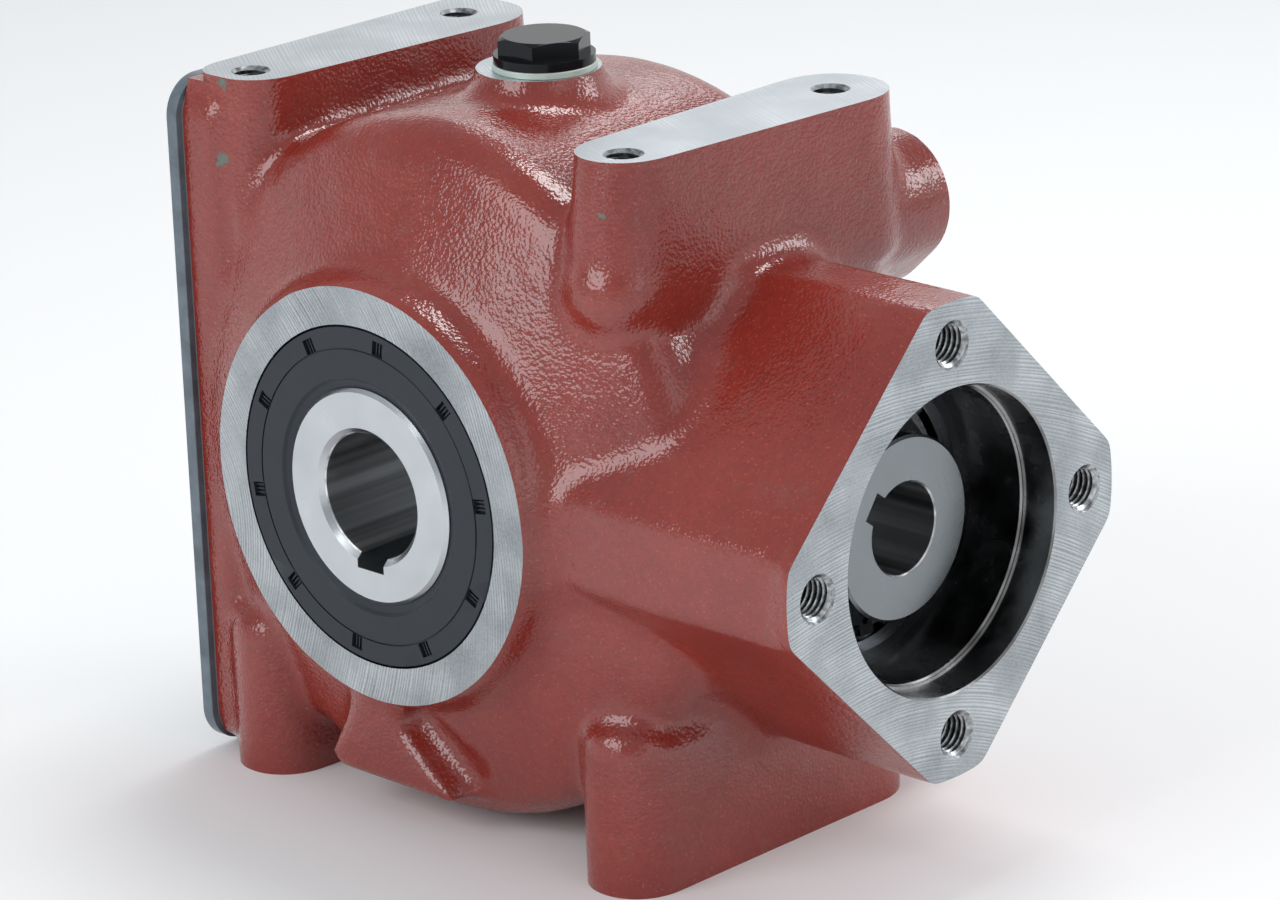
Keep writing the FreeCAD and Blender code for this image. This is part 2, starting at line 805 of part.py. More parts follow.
def crown_gear():
    """Crown gear on the rear half of the output shaft, keyed to its hub."""
    gear = crown_gear_data()
    heel, toe = gear.cone, gear.cone - face_width
    heel_tip, heel_root = gear.corner(gear.tip, heel), gear.corner(gear.root, heel)
    toe_tip, toe_root = gear.corner(gear.tip, toe), gear.corner(gear.root, toe)
    lean = math.tan(gear.pitch)
    back = (heel_root[0] - (crown_back - heel_root[1]) / lean, crown_back)
    profile = [(crown_seat / 2, crown_hub_front), (crown_hub / 2, crown_hub_front),
               (crown_hub / 2, toe_root[1]), toe_root, toe_tip, heel_tip, heel_root, back,
               (bearing_abutment / 2, crown_back), (bearing_abutment / 2, crown_abutment),
               (crown_seat / 2, crown_abutment)]
    body = turned(profile, Z).cut(gear.spaces())
    body.rotate(ORIGIN, X, -90)
    slot = block(-key_width / 2, key_width / 2, -output_half, output_half, 0, key_top() + key_gap)
    return body.cut(slot)


def key_top():
    return crown_seat / 2 - key_seat_depth + key_height


def key_start():
    return crown_back - key_length - shaft_chamfer


def crown_key():
    key = block(-key_width / 2, key_width / 2, key_start(), key_start() + key_length,
                crown_seat / 2 - key_seat_depth, key_top())
    upright = [edge for edge in key.Edges if edge.BoundBox.ZLength > key_height / 2]
    return key.makeFillet(key_width / 2 - 0.01, upright)


def output_shaft():
    seat, collar, mount = output_seat / 2, output_collar / 2, crown_seat / 2
    chamfer = shaft_chamfer
    profile = [(0, -output_half), (seat - chamfer, -output_half), (seat, -output_half + chamfer),
               (seat, -output_bearing_back), (collar, -output_bearing_back), (collar, crown_hub_front),
               (mount, crown_hub_front), (mount, crown_abutment), (seat, crown_abutment),
               (seat, output_half - chamfer), (seat - chamfer, output_half), (0, output_half)]
    body = turned(profile, Y).cut(rod(output_bore, Y * -output_half, Y, 2 * output_half))
    depth = output_bore_chamfer
    for side in (-1, 1):
        face = Y * (side * output_half)
        body = body.cut(Part.makeCone(output_bore / 2 + depth, output_bore / 2, depth, face, Y * -side))
    floor = output_bore / 2 + output_keyway_depth
    slot = radial_bar(output_keyway_width, 0, floor, -output_half, output_half, Y)
    return body.cut([spun(slot, Y, 180), crown_key()]).removeSplitter()


def crown_shim():
    return tube(bearing_abutment, output_seat, crown_abutment, output_bearing_back, Y)


def pinion_shaft():
    """Pinion, bearing seats and hollow input end in one piece."""
    gear = pinion_data()
    heel, toe = gear.cone, gear.cone - face_width
    heel_tip, heel_root = gear.corner(gear.tip, heel), gear.corner(gear.root, heel)
    toe_tip, toe_root = gear.corner(gear.tip, toe), gear.corner(gear.root, toe)
    seat = input_bearing_bore / 2
    collar_start = heel_root[1] + pinion_collar_gap
    groove = seat - shaft_groove_depth
    clip_end = input_bearing_face + shaft_circlip
    end = pinion_shaft_end
    chamfer = pinion_shaft_chamfer
    profile = [(0, toe_root[1]), toe_root, toe_tip, heel_tip, heel_root, (heel_root[0], collar_start),
               (pinion_collar / 2, collar_start), (pinion_collar / 2, input_bearing_back),
               (seat, input_bearing_back), (seat, input_bearing_face), (groove, input_bearing_face),
               (groove, clip_end), (seat, clip_end), (seat, end - chamfer), (seat - chamfer, end), (0, end)]
    body = turned(profile, Z)
    spaces = [spun(space, Z, 180.0 / pinion_teeth) for space in gear.spaces()]
    body = body.cut(spaces)
    body.rotate(ORIGIN, Y, 90)
    mouth = input_bore + 2 * input_bore_chamfer
    body = body.cut(tapped_hole(X * end, -X, input_bore, mouth, input_bore_depth))
    floor = input_bore / 2 + input_keyway_depth
    slot = radial_bar(input_keyway_width, 0, floor, end - input_bore_depth, end, X)
    return body.cut(spun(slot, X, input_keyway_angle - 90.0)).removeSplitter()


def pinion_shim():
    return tube(input_bearing_outer, input_bearing_outer - 2 * input_lip_depth, input_bearing_back - shim,
                input_bearing_back, X)


def output_circlip_ring(side):
    bore = output_bearing_outer / 2
    start = output_bearing_face if side > 0 else -seal_back
    return circlip(bore + output_groove_depth, bore - output_circlip_reach, start, output_circlip, Y, 0)


def input_bore_circlip():
    bore = input_bearing_outer / 2
    return circlip(bore + input_groove_depth, bore - input_circlip_reach, input_bearing_face, input_circlip,
                   X, input_circlip_gap_angle)


def pinion_shaft_circlip():
    seat = input_bearing_bore / 2
    return circlip(seat - shaft_groove_depth, seat + shaft_circlip_reach, input_bearing_face, shaft_circlip,
                   X, shaft_circlip_gap_angle - 90)


def all_pieces():
    pieces = {"housing": housing(), "cover": cover(), "cover_gasket": cover_gasket(),
              "cover_bolts": cover_bolts(), "breather_plug": breather_plug(),
              "breather_washer": breather_washer(), "drain_plug": drain_plug(), "level_plug": level_plug(),
              "output_shaft": output_shaft(), "crown_gear": crown_gear(), "crown_key": crown_key(),
              "crown_shim": crown_shim(), "pinion_shaft": pinion_shaft(), "pinion_shim": pinion_shim(),
              "input_bore_circlip": input_bore_circlip(), "pinion_shaft_circlip": pinion_shaft_circlip()}
    for name, side in (("front", -1), ("rear", 1)):
        start = output_bearing_back if side > 0 else -output_bearing_face
        pieces.update(output_bearing(start).pieces(name + "_output_bearing"))
        pieces[name + "_output_circlip"] = output_circlip_ring(side)
        pieces[name + "_output_seal"] = seal(side)
        pieces[name + "_seal_spring"] = garter_spring(side)
    pieces.update(input_bearing(input_bearing_back).pieces("inner_input_bearing"))
    pieces.update(input_bearing(input_bearing_middle).pieces("outer_input_bearing"))
    return pieces


os.makedirs("parts", exist_ok=True)
for name, shape in all_pieces().items():
    shape.exportStep("parts/" + name + ".step")
    print(name, "solids", len(shape.Solids), "volume", round(shape.Volume), "valid", shape.isValid())
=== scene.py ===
# %% [markdown]
# Right-angle bevel gearbox.
# The real object is a small cast-iron gearbox. A motor bolts to the square flange on the right and
# drives a hollow pinion shaft. A crown gear turns that motion by a right angle, and a second hollow
# shaft runs straight through the drum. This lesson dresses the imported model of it: the casting gets
# its soft fillets and rough paint, the machined faces get their cutter marks, and the holes get threads.

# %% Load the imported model
import json
import math

import bpy
import numpy as np
from mathutils import Matrix, Vector


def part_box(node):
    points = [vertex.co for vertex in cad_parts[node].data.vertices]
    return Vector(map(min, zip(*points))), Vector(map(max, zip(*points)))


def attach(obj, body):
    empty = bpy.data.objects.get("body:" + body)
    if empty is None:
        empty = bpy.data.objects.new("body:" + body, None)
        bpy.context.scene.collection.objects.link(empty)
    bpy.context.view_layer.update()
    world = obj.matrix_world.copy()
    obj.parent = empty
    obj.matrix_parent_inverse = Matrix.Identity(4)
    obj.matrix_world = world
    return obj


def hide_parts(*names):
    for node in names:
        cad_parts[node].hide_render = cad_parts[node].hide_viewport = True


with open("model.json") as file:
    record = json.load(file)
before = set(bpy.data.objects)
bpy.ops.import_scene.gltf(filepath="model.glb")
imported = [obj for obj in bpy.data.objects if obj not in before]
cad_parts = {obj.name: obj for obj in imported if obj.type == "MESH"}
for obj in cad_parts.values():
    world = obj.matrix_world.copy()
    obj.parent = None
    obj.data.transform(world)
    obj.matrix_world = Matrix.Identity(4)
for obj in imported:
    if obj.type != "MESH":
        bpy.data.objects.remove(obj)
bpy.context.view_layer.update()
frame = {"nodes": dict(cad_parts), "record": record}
nodes = frame["nodes"]
mounts = {mount["name"]: mount for mount in frame["record"]["mounts"]}

# %% [markdown]
# Sizes that the whole lesson shares are read from the model, so that every new piece sits where the
# model says. A mount gives the place and radius of a bore or of a ring of holes, in millimetres.

# %% Shared sizes
MM = 0.001
AXES = {"X": Vector((1, 0, 0)), "Y": Vector((0, 1, 0)), "Z": Vector((0, 0, 1))}

housing_low, housing_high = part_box("housing")
flange_x = housing_high.x
output_face = housing_high.y
cover_x = housing_low.x
seat_z = housing_high.z
pad_z = mounts["top_pad_face"]["pos_m"][2]
register_radius = mounts["input_register"]["dims"]["r_mm"] * MM
bolt_circle = mounts["input_flange_bolts"]["dims"]["pcd_mm"] / 2 * MM
print("flange at", round(flange_x, 4), "output faces at", round(output_face, 4), "pads at", pad_z)

# %% [markdown]
# The camera comes first, because every later choice is judged through it. A long lens from 1.4 m
# away keeps the edges almost parallel. Its direction is given by an azimuth, an elevation and a
# small roll, and the two offsets slide it sideways and up until the object fills the frame.

# %% Camera
PHOTO_WIDTH = 1280
SENSOR = 36.0
LENS_PIXELS = 5185.53
AZIMUTH, ELEVATION, ROLL = (math.radians(v) for v in (43.8774, 18.8167, -1.8874))
CAMERA_DISTANCE, CAMERA_RIGHT, CAMERA_UP = 1427.966 * MM, 24.6765 * MM, -5.149 * MM


def camera_turn():
    """Rows of the camera's turn: right, up and back, in the object's frame."""
    back = Vector((math.sin(AZIMUTH) * math.cos(ELEVATION), -math.cos(AZIMUTH) * math.cos(ELEVATION),
                   math.sin(ELEVATION)))
    right = Vector((math.cos(AZIMUTH), math.sin(AZIMUTH), 0))
    up = back.cross(right)
    spin = Matrix.Rotation(ROLL, 3, back)
    return spin @ right, spin @ up, back


right, up, back = camera_turn()
bpy.ops.object.camera_add()
camera = bpy.context.object
camera.name = "photo_camera"
camera.data.sensor_width = SENSOR
camera.data.lens = LENS_PIXELS / PHOTO_WIDTH * SENSOR
camera.data.clip_end = 20
place = right * CAMERA_RIGHT + up * CAMERA_UP + back * CAMERA_DISTANCE
camera.matrix_world = Matrix((right, up, back)).transposed().to_4x4()
camera.location = place
bpy.context.scene.camera = camera
print("camera at", [round(v, 4) for v in place], "lens", round(camera.data.lens, 2))

# %% [markdown]
# Operators act on whatever is selected, and the imported nodes arrive selected. These helpers clear
# the selection, apply a modifier by name, and take a working copy of a node with its triangles joined.

# %% Selection helpers
def deselect():
    bpy.ops.object.select_all(action="DESELECT")


def only(obj):
    deselect()
    obj.select_set(True)
    bpy.context.view_layer.objects.active = obj


def finish_modifier(obj, kind, **settings):
    """Adds one modifier, sets it and applies it at once."""
    only(obj)
    modifier = obj.modifiers.new(kind.lower(), kind)
    for name, value in settings.items():
        setattr(modifier, name, value)
    bpy.ops.object.modifier_apply(modifier=modifier.name)


def settle(obj):
    """Moves an object's place into its mesh, so that the object itself sits at the origin."""
    only(obj)
    bpy.ops.object.transform_apply(location=True, rotation=True, scale=True)


def joined_copy(node, name):
    """Copy of a node's mesh with its loose triangles merged into one surface."""
    obj = bpy.data.objects.new(name, nodes[node].data.copy())
    bpy.context.scene.collection.objects.link(obj)
    obj.data.materials.clear()
    only(obj)
    bpy.ops.object.mode_set(mode="EDIT")
    bpy.ops.mesh.select_all(action="SELECT")
    bpy.ops.mesh.remove_doubles(threshold=0.002 * MM)
    bpy.ops.object.mode_set(mode="OBJECT")
    return obj


def turn_to(axis):
    """Rotation that lays a Z-long primitive along an axis."""
    return Vector((0, 0, 1)).rotation_difference(axis).to_euler()


def rod(radius, centre, axis, length, sides=64):
    bpy.ops.mesh.primitive_cylinder_add(vertices=sides, radius=radius, depth=length, location=centre,
                                        rotation=turn_to(axis))
    obj = bpy.context.object
    settle(obj)
    return obj


def box(low, high):
    low, high = Vector(low), Vector(high)
    bpy.ops.mesh.primitive_cube_add(size=1, location=(low + high) / 2, scale=high - low)
    obj = bpy.context.object
    settle(obj)
    return obj


def revolve(profile, axis, steps=96):
    """Closed solid from (radius, place) corners spun about an axis; both ends lie on the axis."""
    out = AXES["Z"] if axis != AXES["Z"] else AXES["X"]
    mesh = bpy.data.meshes.new("profile")
    corners = [out * r + axis * a for r, a in profile]
    mesh.from_pydata(corners, [(i, i + 1) for i in range(len(corners) - 1)], [])
    obj = bpy.data.objects.new("profile", mesh)
    bpy.context.scene.collection.objects.link(obj)
    only(obj)
    bpy.ops.object.mode_set(mode="EDIT")
    bpy.ops.mesh.select_all(action="SELECT")
    bpy.ops.mesh.spin(steps=steps, angle=math.tau, center=(0, 0, 0), axis=axis)
    bpy.ops.mesh.select_all(action="SELECT")
    bpy.ops.mesh.remove_doubles(threshold=0.001 * MM)
    bpy.ops.mesh.normals_make_consistent(inside=False)
    bpy.ops.object.mode_set(mode="OBJECT")
    return obj


def join(parts, name):
    deselect()
    for part in parts:
        part.select_set(True)
    bpy.context.view_layer.objects.active = parts[0]
    bpy.ops.object.join()
    parts[0].name = name
    return parts[0]


def carve(obj, cutters):
    """Takes separate closed cutters out of an object in one go, and deletes them."""
    cutter = join(cutters, "cutter")
    finish_modifier(obj, "BOOLEAN", operation="DIFFERENCE", solver="MANIFOLD", object=cutter)
    bpy.data.objects.remove(cutter)


# %% [markdown]
# The casting is the heart of the picture. A foundry pours it in sand, so no cast corner is sharp: the
# neck runs into the drum, and the pads into the drum, through soft hollows. The solid model has sharp
# creases there. They could be bevelled one by one, but bevels fail where curved walls cross. It is
# simpler to do what the foundry does: make the blank soft first and machine it sharp afterwards.
# The copy's machined faces are moved out to leave stock, its holes are plugged, and a voxel remesh
# turns it into an even skin.

# %% Rough blank with stock on every machined face
STOCK = 4 * MM
SKIN = 1.55 * MM
PLUG_REACH = STOCK - 0.2 * MM
GROOVE_RADIUS = 6.5 * MM

blank = joined_copy("housing", "gearbox_casting")


def move_face(obj, axis, place, step):
    """Slides every corner that lies on one plane along that plane's normal."""
    for vertex in obj.data.vertices:
        if abs(vertex.co[axis] - place) < 0.001 * MM:
            vertex.co[axis] += step


for axis, place, step in ((0, flange_x, STOCK), (0, cover_x, -STOCK), (1, output_face, STOCK),
                          (1, -output_face, -STOCK), (2, pad_z, STOCK), (2, -pad_z, -STOCK),
                          (2, seat_z, STOCK)):
    move_face(blank, axis, place, step)

FLANGE_HOLES = [(0, 1), (0, -1), (1, 0), (-1, 0)]
SIGNS = [(1, 1), (1, -1), (-1, 1), (-1, -1)]
pad_x, pad_y = (mounts["top_pad_bolts"]["dims"][key] / 2 * MM for key in ("spacing_x_mm", "spacing_y_mm"))
lug_x, lug_z = (mounts["rear_lug_bolts"]["dims"][key] / 2 * MM for key in ("spacing_x_mm", "spacing_y_mm"))
washer_low, washer_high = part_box("breather_washer")
breather_x = (washer_low.x + washer_high.x) / 2
level_low, level_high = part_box("level_plug")
level_place = (level_low + level_high) / 2


def mouth_plug(radius, face_place, axis, depth):
    """Plug that fills a hole's mouth from inside, up to a hair under the top of the stock."""
    centre = Vector(face_place) + axis * (PLUG_REACH - depth / 2)
    return rod(radius, centre, axis, depth)


# Each plug is a little wider than the hole that it fills.
OUTPUT_PLUG, REGISTER_PLUG, BREATHER_HOLE_PLUG = 50.5 * MM, 43.6 * MM, 11.5 * MM
SOCKET_HOLE_PLUG, PAD_HOLE_PLUG, BOLT_HOLE_PLUG = 8.5 * MM, 6.8 * MM, 7.8 * MM
MOUTH_DEPTH, PAD_HOLE_DEPTH, BOLT_HOLE_DEPTH = 18 * MM, 26 * MM, 30 * MM


def plugs():
    """Plugs for every hole of the casting, and a lid for the opening behind the cover."""
    parts = []
    for side in (-1, 1):
        parts.append(mouth_plug(OUTPUT_PLUG, (0, side * output_face, 0), AXES["Y"] * side, MOUTH_DEPTH))
        parts.append(rod(SOCKET_HOLE_PLUG, (0, 0, side * 90 * MM), AXES["Z"], 15 * MM))
    for sx, sy in SIGNS:
        for side in (-1, 1):
            mouth = (sx * pad_x, sy * pad_y, side * pad_z)
            parts.append(mouth_plug(PAD_HOLE_PLUG, mouth, AXES["Z"] * side, PAD_HOLE_DEPTH))
        parts.append(mouth_plug(BOLT_HOLE_PLUG, (sx * lug_x, output_face, sy * lug_z), AXES["Y"], BOLT_HOLE_DEPTH))
    for y, z in FLANGE_HOLES:
        parts.append(mouth_plug(BOLT_HOLE_PLUG, (flange_x, y * bolt_circle, z * bolt_circle), AXES["X"],
                                BOLT_HOLE_DEPTH))
    parts.append(mouth_plug(REGISTER_PLUG, (flange_x, 0, 0), AXES["X"], MOUTH_DEPTH))
    parts.append(mouth_plug(BREATHER_HOLE_PLUG, (breather_x, 0, seat_z), AXES["Z"], MOUTH_DEPTH))
    parts.append(rod(SOCKET_HOLE_PLUG, level_place, AXES["Y"], level_high.y - level_low.y))
    cover_low, cover_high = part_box("cover_gasket")
    lid = (cover_x - PLUG_REACH, cover_low.y + 1.5 * MM, cover_low.z + 3 * MM)
    parts.append(box(lid, (cover_x + 3 * MM, cover_high.y - 1.5 * MM, cover_high.z - 3 * MM)))
    return parts


# %% [markdown]
# A few forms of the casting are softer or smaller than the solid model holds: a swelling where a pad
# column ends, a thicker strip of the cover flange, and the hollows that the pattern maker's tools left.
# They join the blank, or are cut from its skin, before the smoothing, so that it rounds them as well.

# %% Small cast forms
def crease_cutter(side):
    """Shallow crease between the cover flange and the pad column beside it."""
    radius, length, place = 3.0 * MM, 50 * MM, Vector((-70.2, 52.9 * side, 71)) * MM
    return rod(radius, place, AXES["Z"], length, 24)


def thicker_flange(side):
    """The cover flange is thicker beside the upper pad, so that its bolts end inside the metal."""
    low, high, corner, edge = cover_x + 1 * MM, -72.4 * MM, 86.8 * MM, 42 * MM * side
    y_low, y_high = sorted((edge, 53 * MM * side))
    return [box((low, y_low, 40 * MM), (high, y_high, corner)),
            rod(11 * MM, ((low + high) / 2, edge, corner), AXES["X"], high - low)]


def column_foot():
    """Swelling at the lower end of the pad column on the neck's side, where the draft makes it widest."""
    top, bottom, centre, radius = 98, 64, Vector((67.3, -39.8, 0)), 15.2
    bpy.ops.mesh.primitive_cone_add(vertices=64, radius1=radius * MM, radius2=12.2 * MM, depth=(top - bottom) * MM,
                                    location=(centre + Vector((0, 1.5, (top + bottom) / 2))) * MM)
    cone = bpy.context.object
    bpy.ops.mesh.primitive_uv_sphere_add(segments=64, ring_count=32, radius=radius * MM,
                                         location=(centre + Vector((0, 0, bottom))) * MM)
    return [cone, bpy.context.object]


def groove_cutter(side):
    """Round groove beside the slanting edge of the flat pad, below each output boss."""
    start = Vector((-0.5, 59 * side, -64)) * MM
    end = Vector((27, 57 * side, -87)) * MM
    return rod(GROOVE_RADIUS, (start + end) / 2, (end - start).normalized(), (end - start).length, 32)


blank = join([blank] + plugs() + column_foot() + thicker_flange(-1) + thicker_flange(1), "gearbox_casting")
finish_modifier(blank, "REMESH", mode="VOXEL", voxel_size=SKIN)
carve(blank, [groove_cutter(side) for side in (-1, 1)] + [crease_cutter(side) for side in (-1, 1)])
finish_modifier(blank, "REMESH", mode="VOXEL", voxel_size=SKIN)
print("skin corners", len(blank.data.vertices))

# %% [markdown]
# Now the sand-cast softness. A light smoothing rounds every outer corner by two or three millimetres.
# The inner corners need more: the skin is searched for hollow places, that patch is grown a few rings,
# and only there the surface is relaxed many times, which leaves a fillet.

# %% Fillets in the hollows
CORNER_PASSES = 5
HOLLOW_RADIUS = 12 * MM
HOLLOW_PASSES = 24
ROOT_PASSES = 70
FLANGE_BACK = cover_x + 7.5 * MM


def mesh_arrays(obj):
    mesh = obj.data
    count = len(mesh.vertices)
    places = np.empty(count * 3, np.float32)
    normals = np.empty(count * 3, np.float32)
    edges = np.empty(len(mesh.edges) * 2, np.int32)
    mesh.vertices.foreach_get("co", places)
    mesh.vertex_normals.foreach_get("vector", normals)
    mesh.edges.foreach_get("vertices", edges)
    return places.reshape(-1, 3), normals.reshape(-1, 3), edges.reshape(-1, 2)


def neighbour_mean(values, edges):
    total = np.zeros_like(values)
    count = np.zeros(len(values))
    for a, b in ((0, 1), (1, 0)):
        np.add.at(total, edges[:, a], values[edges[:, b]])
        np.add.at(count, edges[:, a], 1)
    return (total.T / count).T


def hollow_weights(obj, rings):
    """1 in the inner corners of a skin, fading to 0 a few rings away."""
    places, normals, edges = mesh_arrays(obj)
    bend = ((neighbour_mean(places, edges) - places) * normals).sum(1) * 4 / SKIN ** 2
    weight = (bend > 1 / HOLLOW_RADIUS).astype(float)
    for step in range(2):
        weight = np.maximum(weight, neighbour_mean(weight, edges) > 0.3)
    for step in range(rings):
        weight = np.maximum(weight, neighbour_mean(weight, edges) * 0.98)
    for step in range(3):
        weight = neighbour_mean(weight, edges)
    return np.clip(weight * 1.3, 0, 1)


def soften(obj, weights, passes, levels=10):
    """Relaxes a skin where the weights are, in ten steps of strength."""
    group = obj.vertex_groups.new(name="soft")
    for level in range(1, levels + 1):
        chosen = np.nonzero(np.round(weights * levels) == level)[0]
        group.add(chosen.tolist(), level / levels, "REPLACE")
    finish_modifier(obj, "SMOOTH", factor=0.5, iterations=passes, vertex_group="soft")
    obj.vertex_groups.clear()


def thick_parts(obj):
    """The thin cover flange is relaxed less than the rest, because its bolts sit near its edge."""
    places = mesh_arrays(obj)[0]
    return np.where(places[:, 0] < FLANGE_BACK, 0.2, 1.0)


def neck_root(obj):
    """Around the foot of the neck, where the drum's wall runs into it in a wide hollow."""
    x, y, z = abs(mesh_arrays(obj)[0]).T
    beside = (x > 46 * MM) & (x < 104 * MM) & (z < 47 * MM)
    above = (x > 81 * MM) & (x < 104 * MM) & (y < 32 * MM)
    return (beside | above) & (mesh_arrays(obj)[0][:, 0] > 0)


soften(blank, thick_parts(blank), CORNER_PASSES)
soften(blank, hollow_weights(blank, 3), HOLLOW_PASSES)
soften(blank, hollow_weights(blank, 6) * neck_root(blank), ROOT_PASSES)
soften(blank, thick_parts(blank), 2)
print("softened skin corners", len(blank.data.vertices))

# %% [markdown]
# The machine shop comes next. Flat faces are milled, the shaft seats are bored, and each cut leaves a
# crisp edge against the soft casting. A boolean with closed cutters does the same to the skin.

# %% Mill the flat faces
# A cutter reaches this far to each side, and this far past the face that it cuts.
WIDE, REACH = 160 * MM, 20 * MM


def end_cutters():
    """Blocks beyond the input flange's face and the cover flange's face."""
    return [box((flange_x, -WIDE, -WIDE), (flange_x + REACH, WIDE, WIDE)),
            box((cover_x - REACH, -WIDE, -WIDE), (cover_x, WIDE, WIDE))]


def side_cutters():
    """Blocks beyond the two output faces."""
    return [box((-WIDE, side * output_face - (REACH if side < 0 else 0), -WIDE),
                (WIDE, side * output_face + (REACH if side > 0 else 0), WIDE)) for side in (-1, 1)]


def level_cutters():
    """Blocks below the feet, above each pad and above the breather's seat."""
    pad_edge = 40 * MM
    return [box((-WIDE, -WIDE, -pad_z - REACH), (WIDE, WIDE, -pad_z)),
            box((-WIDE, -WIDE, pad_z), (-pad_edge, WIDE, pad_z + REACH)),
            box((pad_edge, -WIDE, pad_z), (WIDE, WIDE, pad_z + REACH)),
            box((-pad_edge * 0.9, -WIDE, seat_z), (pad_edge * 0.9, WIDE, seat_z + REACH))]


carve(blank, end_cutters())
carve(blank, side_cutters())
carve(blank, level_cutters())


CORNER_FLOOR, CORNER_TOP, CORNER_RADIUS = 97.8 * MM, 110 * MM, 9 * MM


def pad_corner_cutter(side):
    """Takes the square corner off the left pad's milled face, where the pad meets the cover flange."""
    near, far = sorted((side * 41 * MM, side * 55 * MM))
    corner = box((cover_x - 5 * MM, near, CORNER_FLOOR), (-75 * MM, far, CORNER_TOP))
    carve(corner, [rod(CORNER_RADIUS, (-75.3 * MM, side * 40.8 * MM, 100 * MM), AXES["Z"], 30 * MM)])
    return corner


carve(blank, [pad_corner_cutter(-1)])
print("faces after milling", len(blank.data.polygons))

# %% [markdown]
# The bores come next. On a lathe or a boring machine each one is a stepped profile turned about a
# shaft's axis, so each cutter is a profile spun about that axis. The steps are read from the bearings
# and the shim that sit there. The space for the gears is hollowed out in the same way.

# %% Bore the shaft seats and the gear space
output_bearing_low, output_bearing_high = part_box("rear_output_bearing_outer_ring")
input_bearing_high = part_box("inner_input_bearing_outer_ring")[1]
outer_bearing_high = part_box("outer_input_bearing_outer_ring")[1]
output_seat_radius = output_bearing_high.x
input_seat_radius = input_bearing_high.z
output_seat_back = output_bearing_low.y
input_seat_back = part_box("pinion_shim")[0].x
OUTPUT_LIP, INPUT_LIP = 4 * MM, 5 * MM
OUTPUT_START, INPUT_START = 30 * MM, 70 * MM
CIRCLIP_DEPTH, CIRCLIP_WIDTH, REGISTER_DEPTH = 1.75 * MM, 2.5 * MM, 10 * MM
SPACE_RADIUS, SPACE_EDGE, SPACE_SIDE = 89 * MM, 40.5 * MM, 53.2 * MM
BOSS_RADIUS, BOSS_BACK = 56 * MM, 37.5 * MM
NECK_BOSS_RADIUS, NECK_BOSS_BACK = 48.5 * MM, 77.5 * MM


def output_seat_cutter(side):
    r, lip = output_seat_radius, output_seat_radius - OUTPUT_LIP
    profile = [(0, OUTPUT_START), (lip, OUTPUT_START), (lip, output_seat_back), (r, output_seat_back),
               (r, output_face + REACH), (0, output_face + REACH)]
    return revolve([(radius, side * place) for radius, place in profile], AXES["Y"])


def input_seat_cutter():
    r, lip = input_seat_radius, input_seat_radius - INPUT_LIP
    groove = outer_bearing_high.x
    register = flange_x - REGISTER_DEPTH
    step = 0.5 * MM
    profile = [(0, INPUT_START), (lip, INPUT_START), (lip, input_seat_back), (r, input_seat_back), (r, groove),
               (r + CIRCLIP_DEPTH, groove), (r + CIRCLIP_DEPTH, groove + CIRCLIP_WIDTH), (r, groove + CIRCLIP_WIDTH),
               (r, register - 1.1 * MM), (r + step, register - 0.6 * MM), (r + step, register - 0.3 * MM),
               (register_radius, register), (register_radius, flange_x - step),
               (register_radius + step, flange_x), (register_radius + step, flange_x + REACH),
               (0, flange_x + REACH)]
    return revolve(profile, AXES["X"], steps=128)


def gear_space_cutter():
    half = [(0, BOSS_BACK), (BOSS_RADIUS, BOSS_BACK), (BOSS_RADIUS, SPACE_SIDE), (SPACE_RADIUS, SPACE_EDGE)]
    space = revolve([(r, -y) for r, y in half] + half[::-1], AXES["Y"])
    inner = rod(NECK_BOSS_RADIUS, (NECK_BOSS_BACK + 25 * MM, 0, 0), AXES["X"], 50 * MM)
    carve(space, [inner])
    return space


carve(blank, [gear_space_cutter()])
carve(blank, [output_seat_cutter(-1), output_seat_cutter(1)])
carve(blank, [input_seat_cutter()])
OPENING_Y, OPENING_Z, OPENING_DEPTH = 42 * MM, 75 * MM, 22 * MM
carve(blank, [box((cover_x - REACH, -OPENING_Y, -OPENING_Z), (cover_x + OPENING_DEPTH, OPENING_Y, OPENING_Z))])
print("skin after boring", len(blank.data.polygons))

# %% [markdown]
# A tapped hole shows a bright spiral. Its cutter starts as one zigzag line from the mouth to the
# bottom. The Screw modifier sweeps that line once round while it climbs one pitch, so each turn ends
# exactly where the next one starts. Merging the two gives one true helical thread.

# %% Tap the holes
def thread_cutter(drill, major, pitch, depth):
    """Closed helical cutter with its mouth at Z 0, reaching down into the metal."""
    turns = math.ceil(depth / pitch)
    corners = []
    for turn in range(-turns, 2):
        low = turn * pitch
        corners += [(drill, 0, low), (drill, 0, low + 0.15 * pitch), (major, 0, low + 0.52 * pitch),
                    (major, 0, low + 0.63 * pitch)]
    corners.append((drill, 0, 2 * pitch))
    mesh = bpy.data.meshes.new("thread")
    mesh.from_pydata(corners, [(i, i + 1) for i in range(len(corners) - 1)], [])
    obj = bpy.data.objects.new("thread", mesh)
    bpy.context.scene.collection.objects.link(obj)
    finish_modifier(obj, "SCREW", axis="Z", angle=math.tau, screw_offset=pitch, iterations=1, steps=28,
                    render_steps=28, use_merge_vertices=False)
    bpy.ops.object.mode_set(mode="EDIT")
    bpy.ops.mesh.select_all(action="SELECT")
    bpy.ops.mesh.remove_doubles(threshold=0.01 * MM)
    bpy.ops.mesh.select_all(action="SELECT")
    bpy.ops.mesh.fill_holes(sides=0)
    bpy.ops.mesh.normals_make_consistent(inside=False)
    bpy.ops.object.mode_set(mode="OBJECT")
    return obj


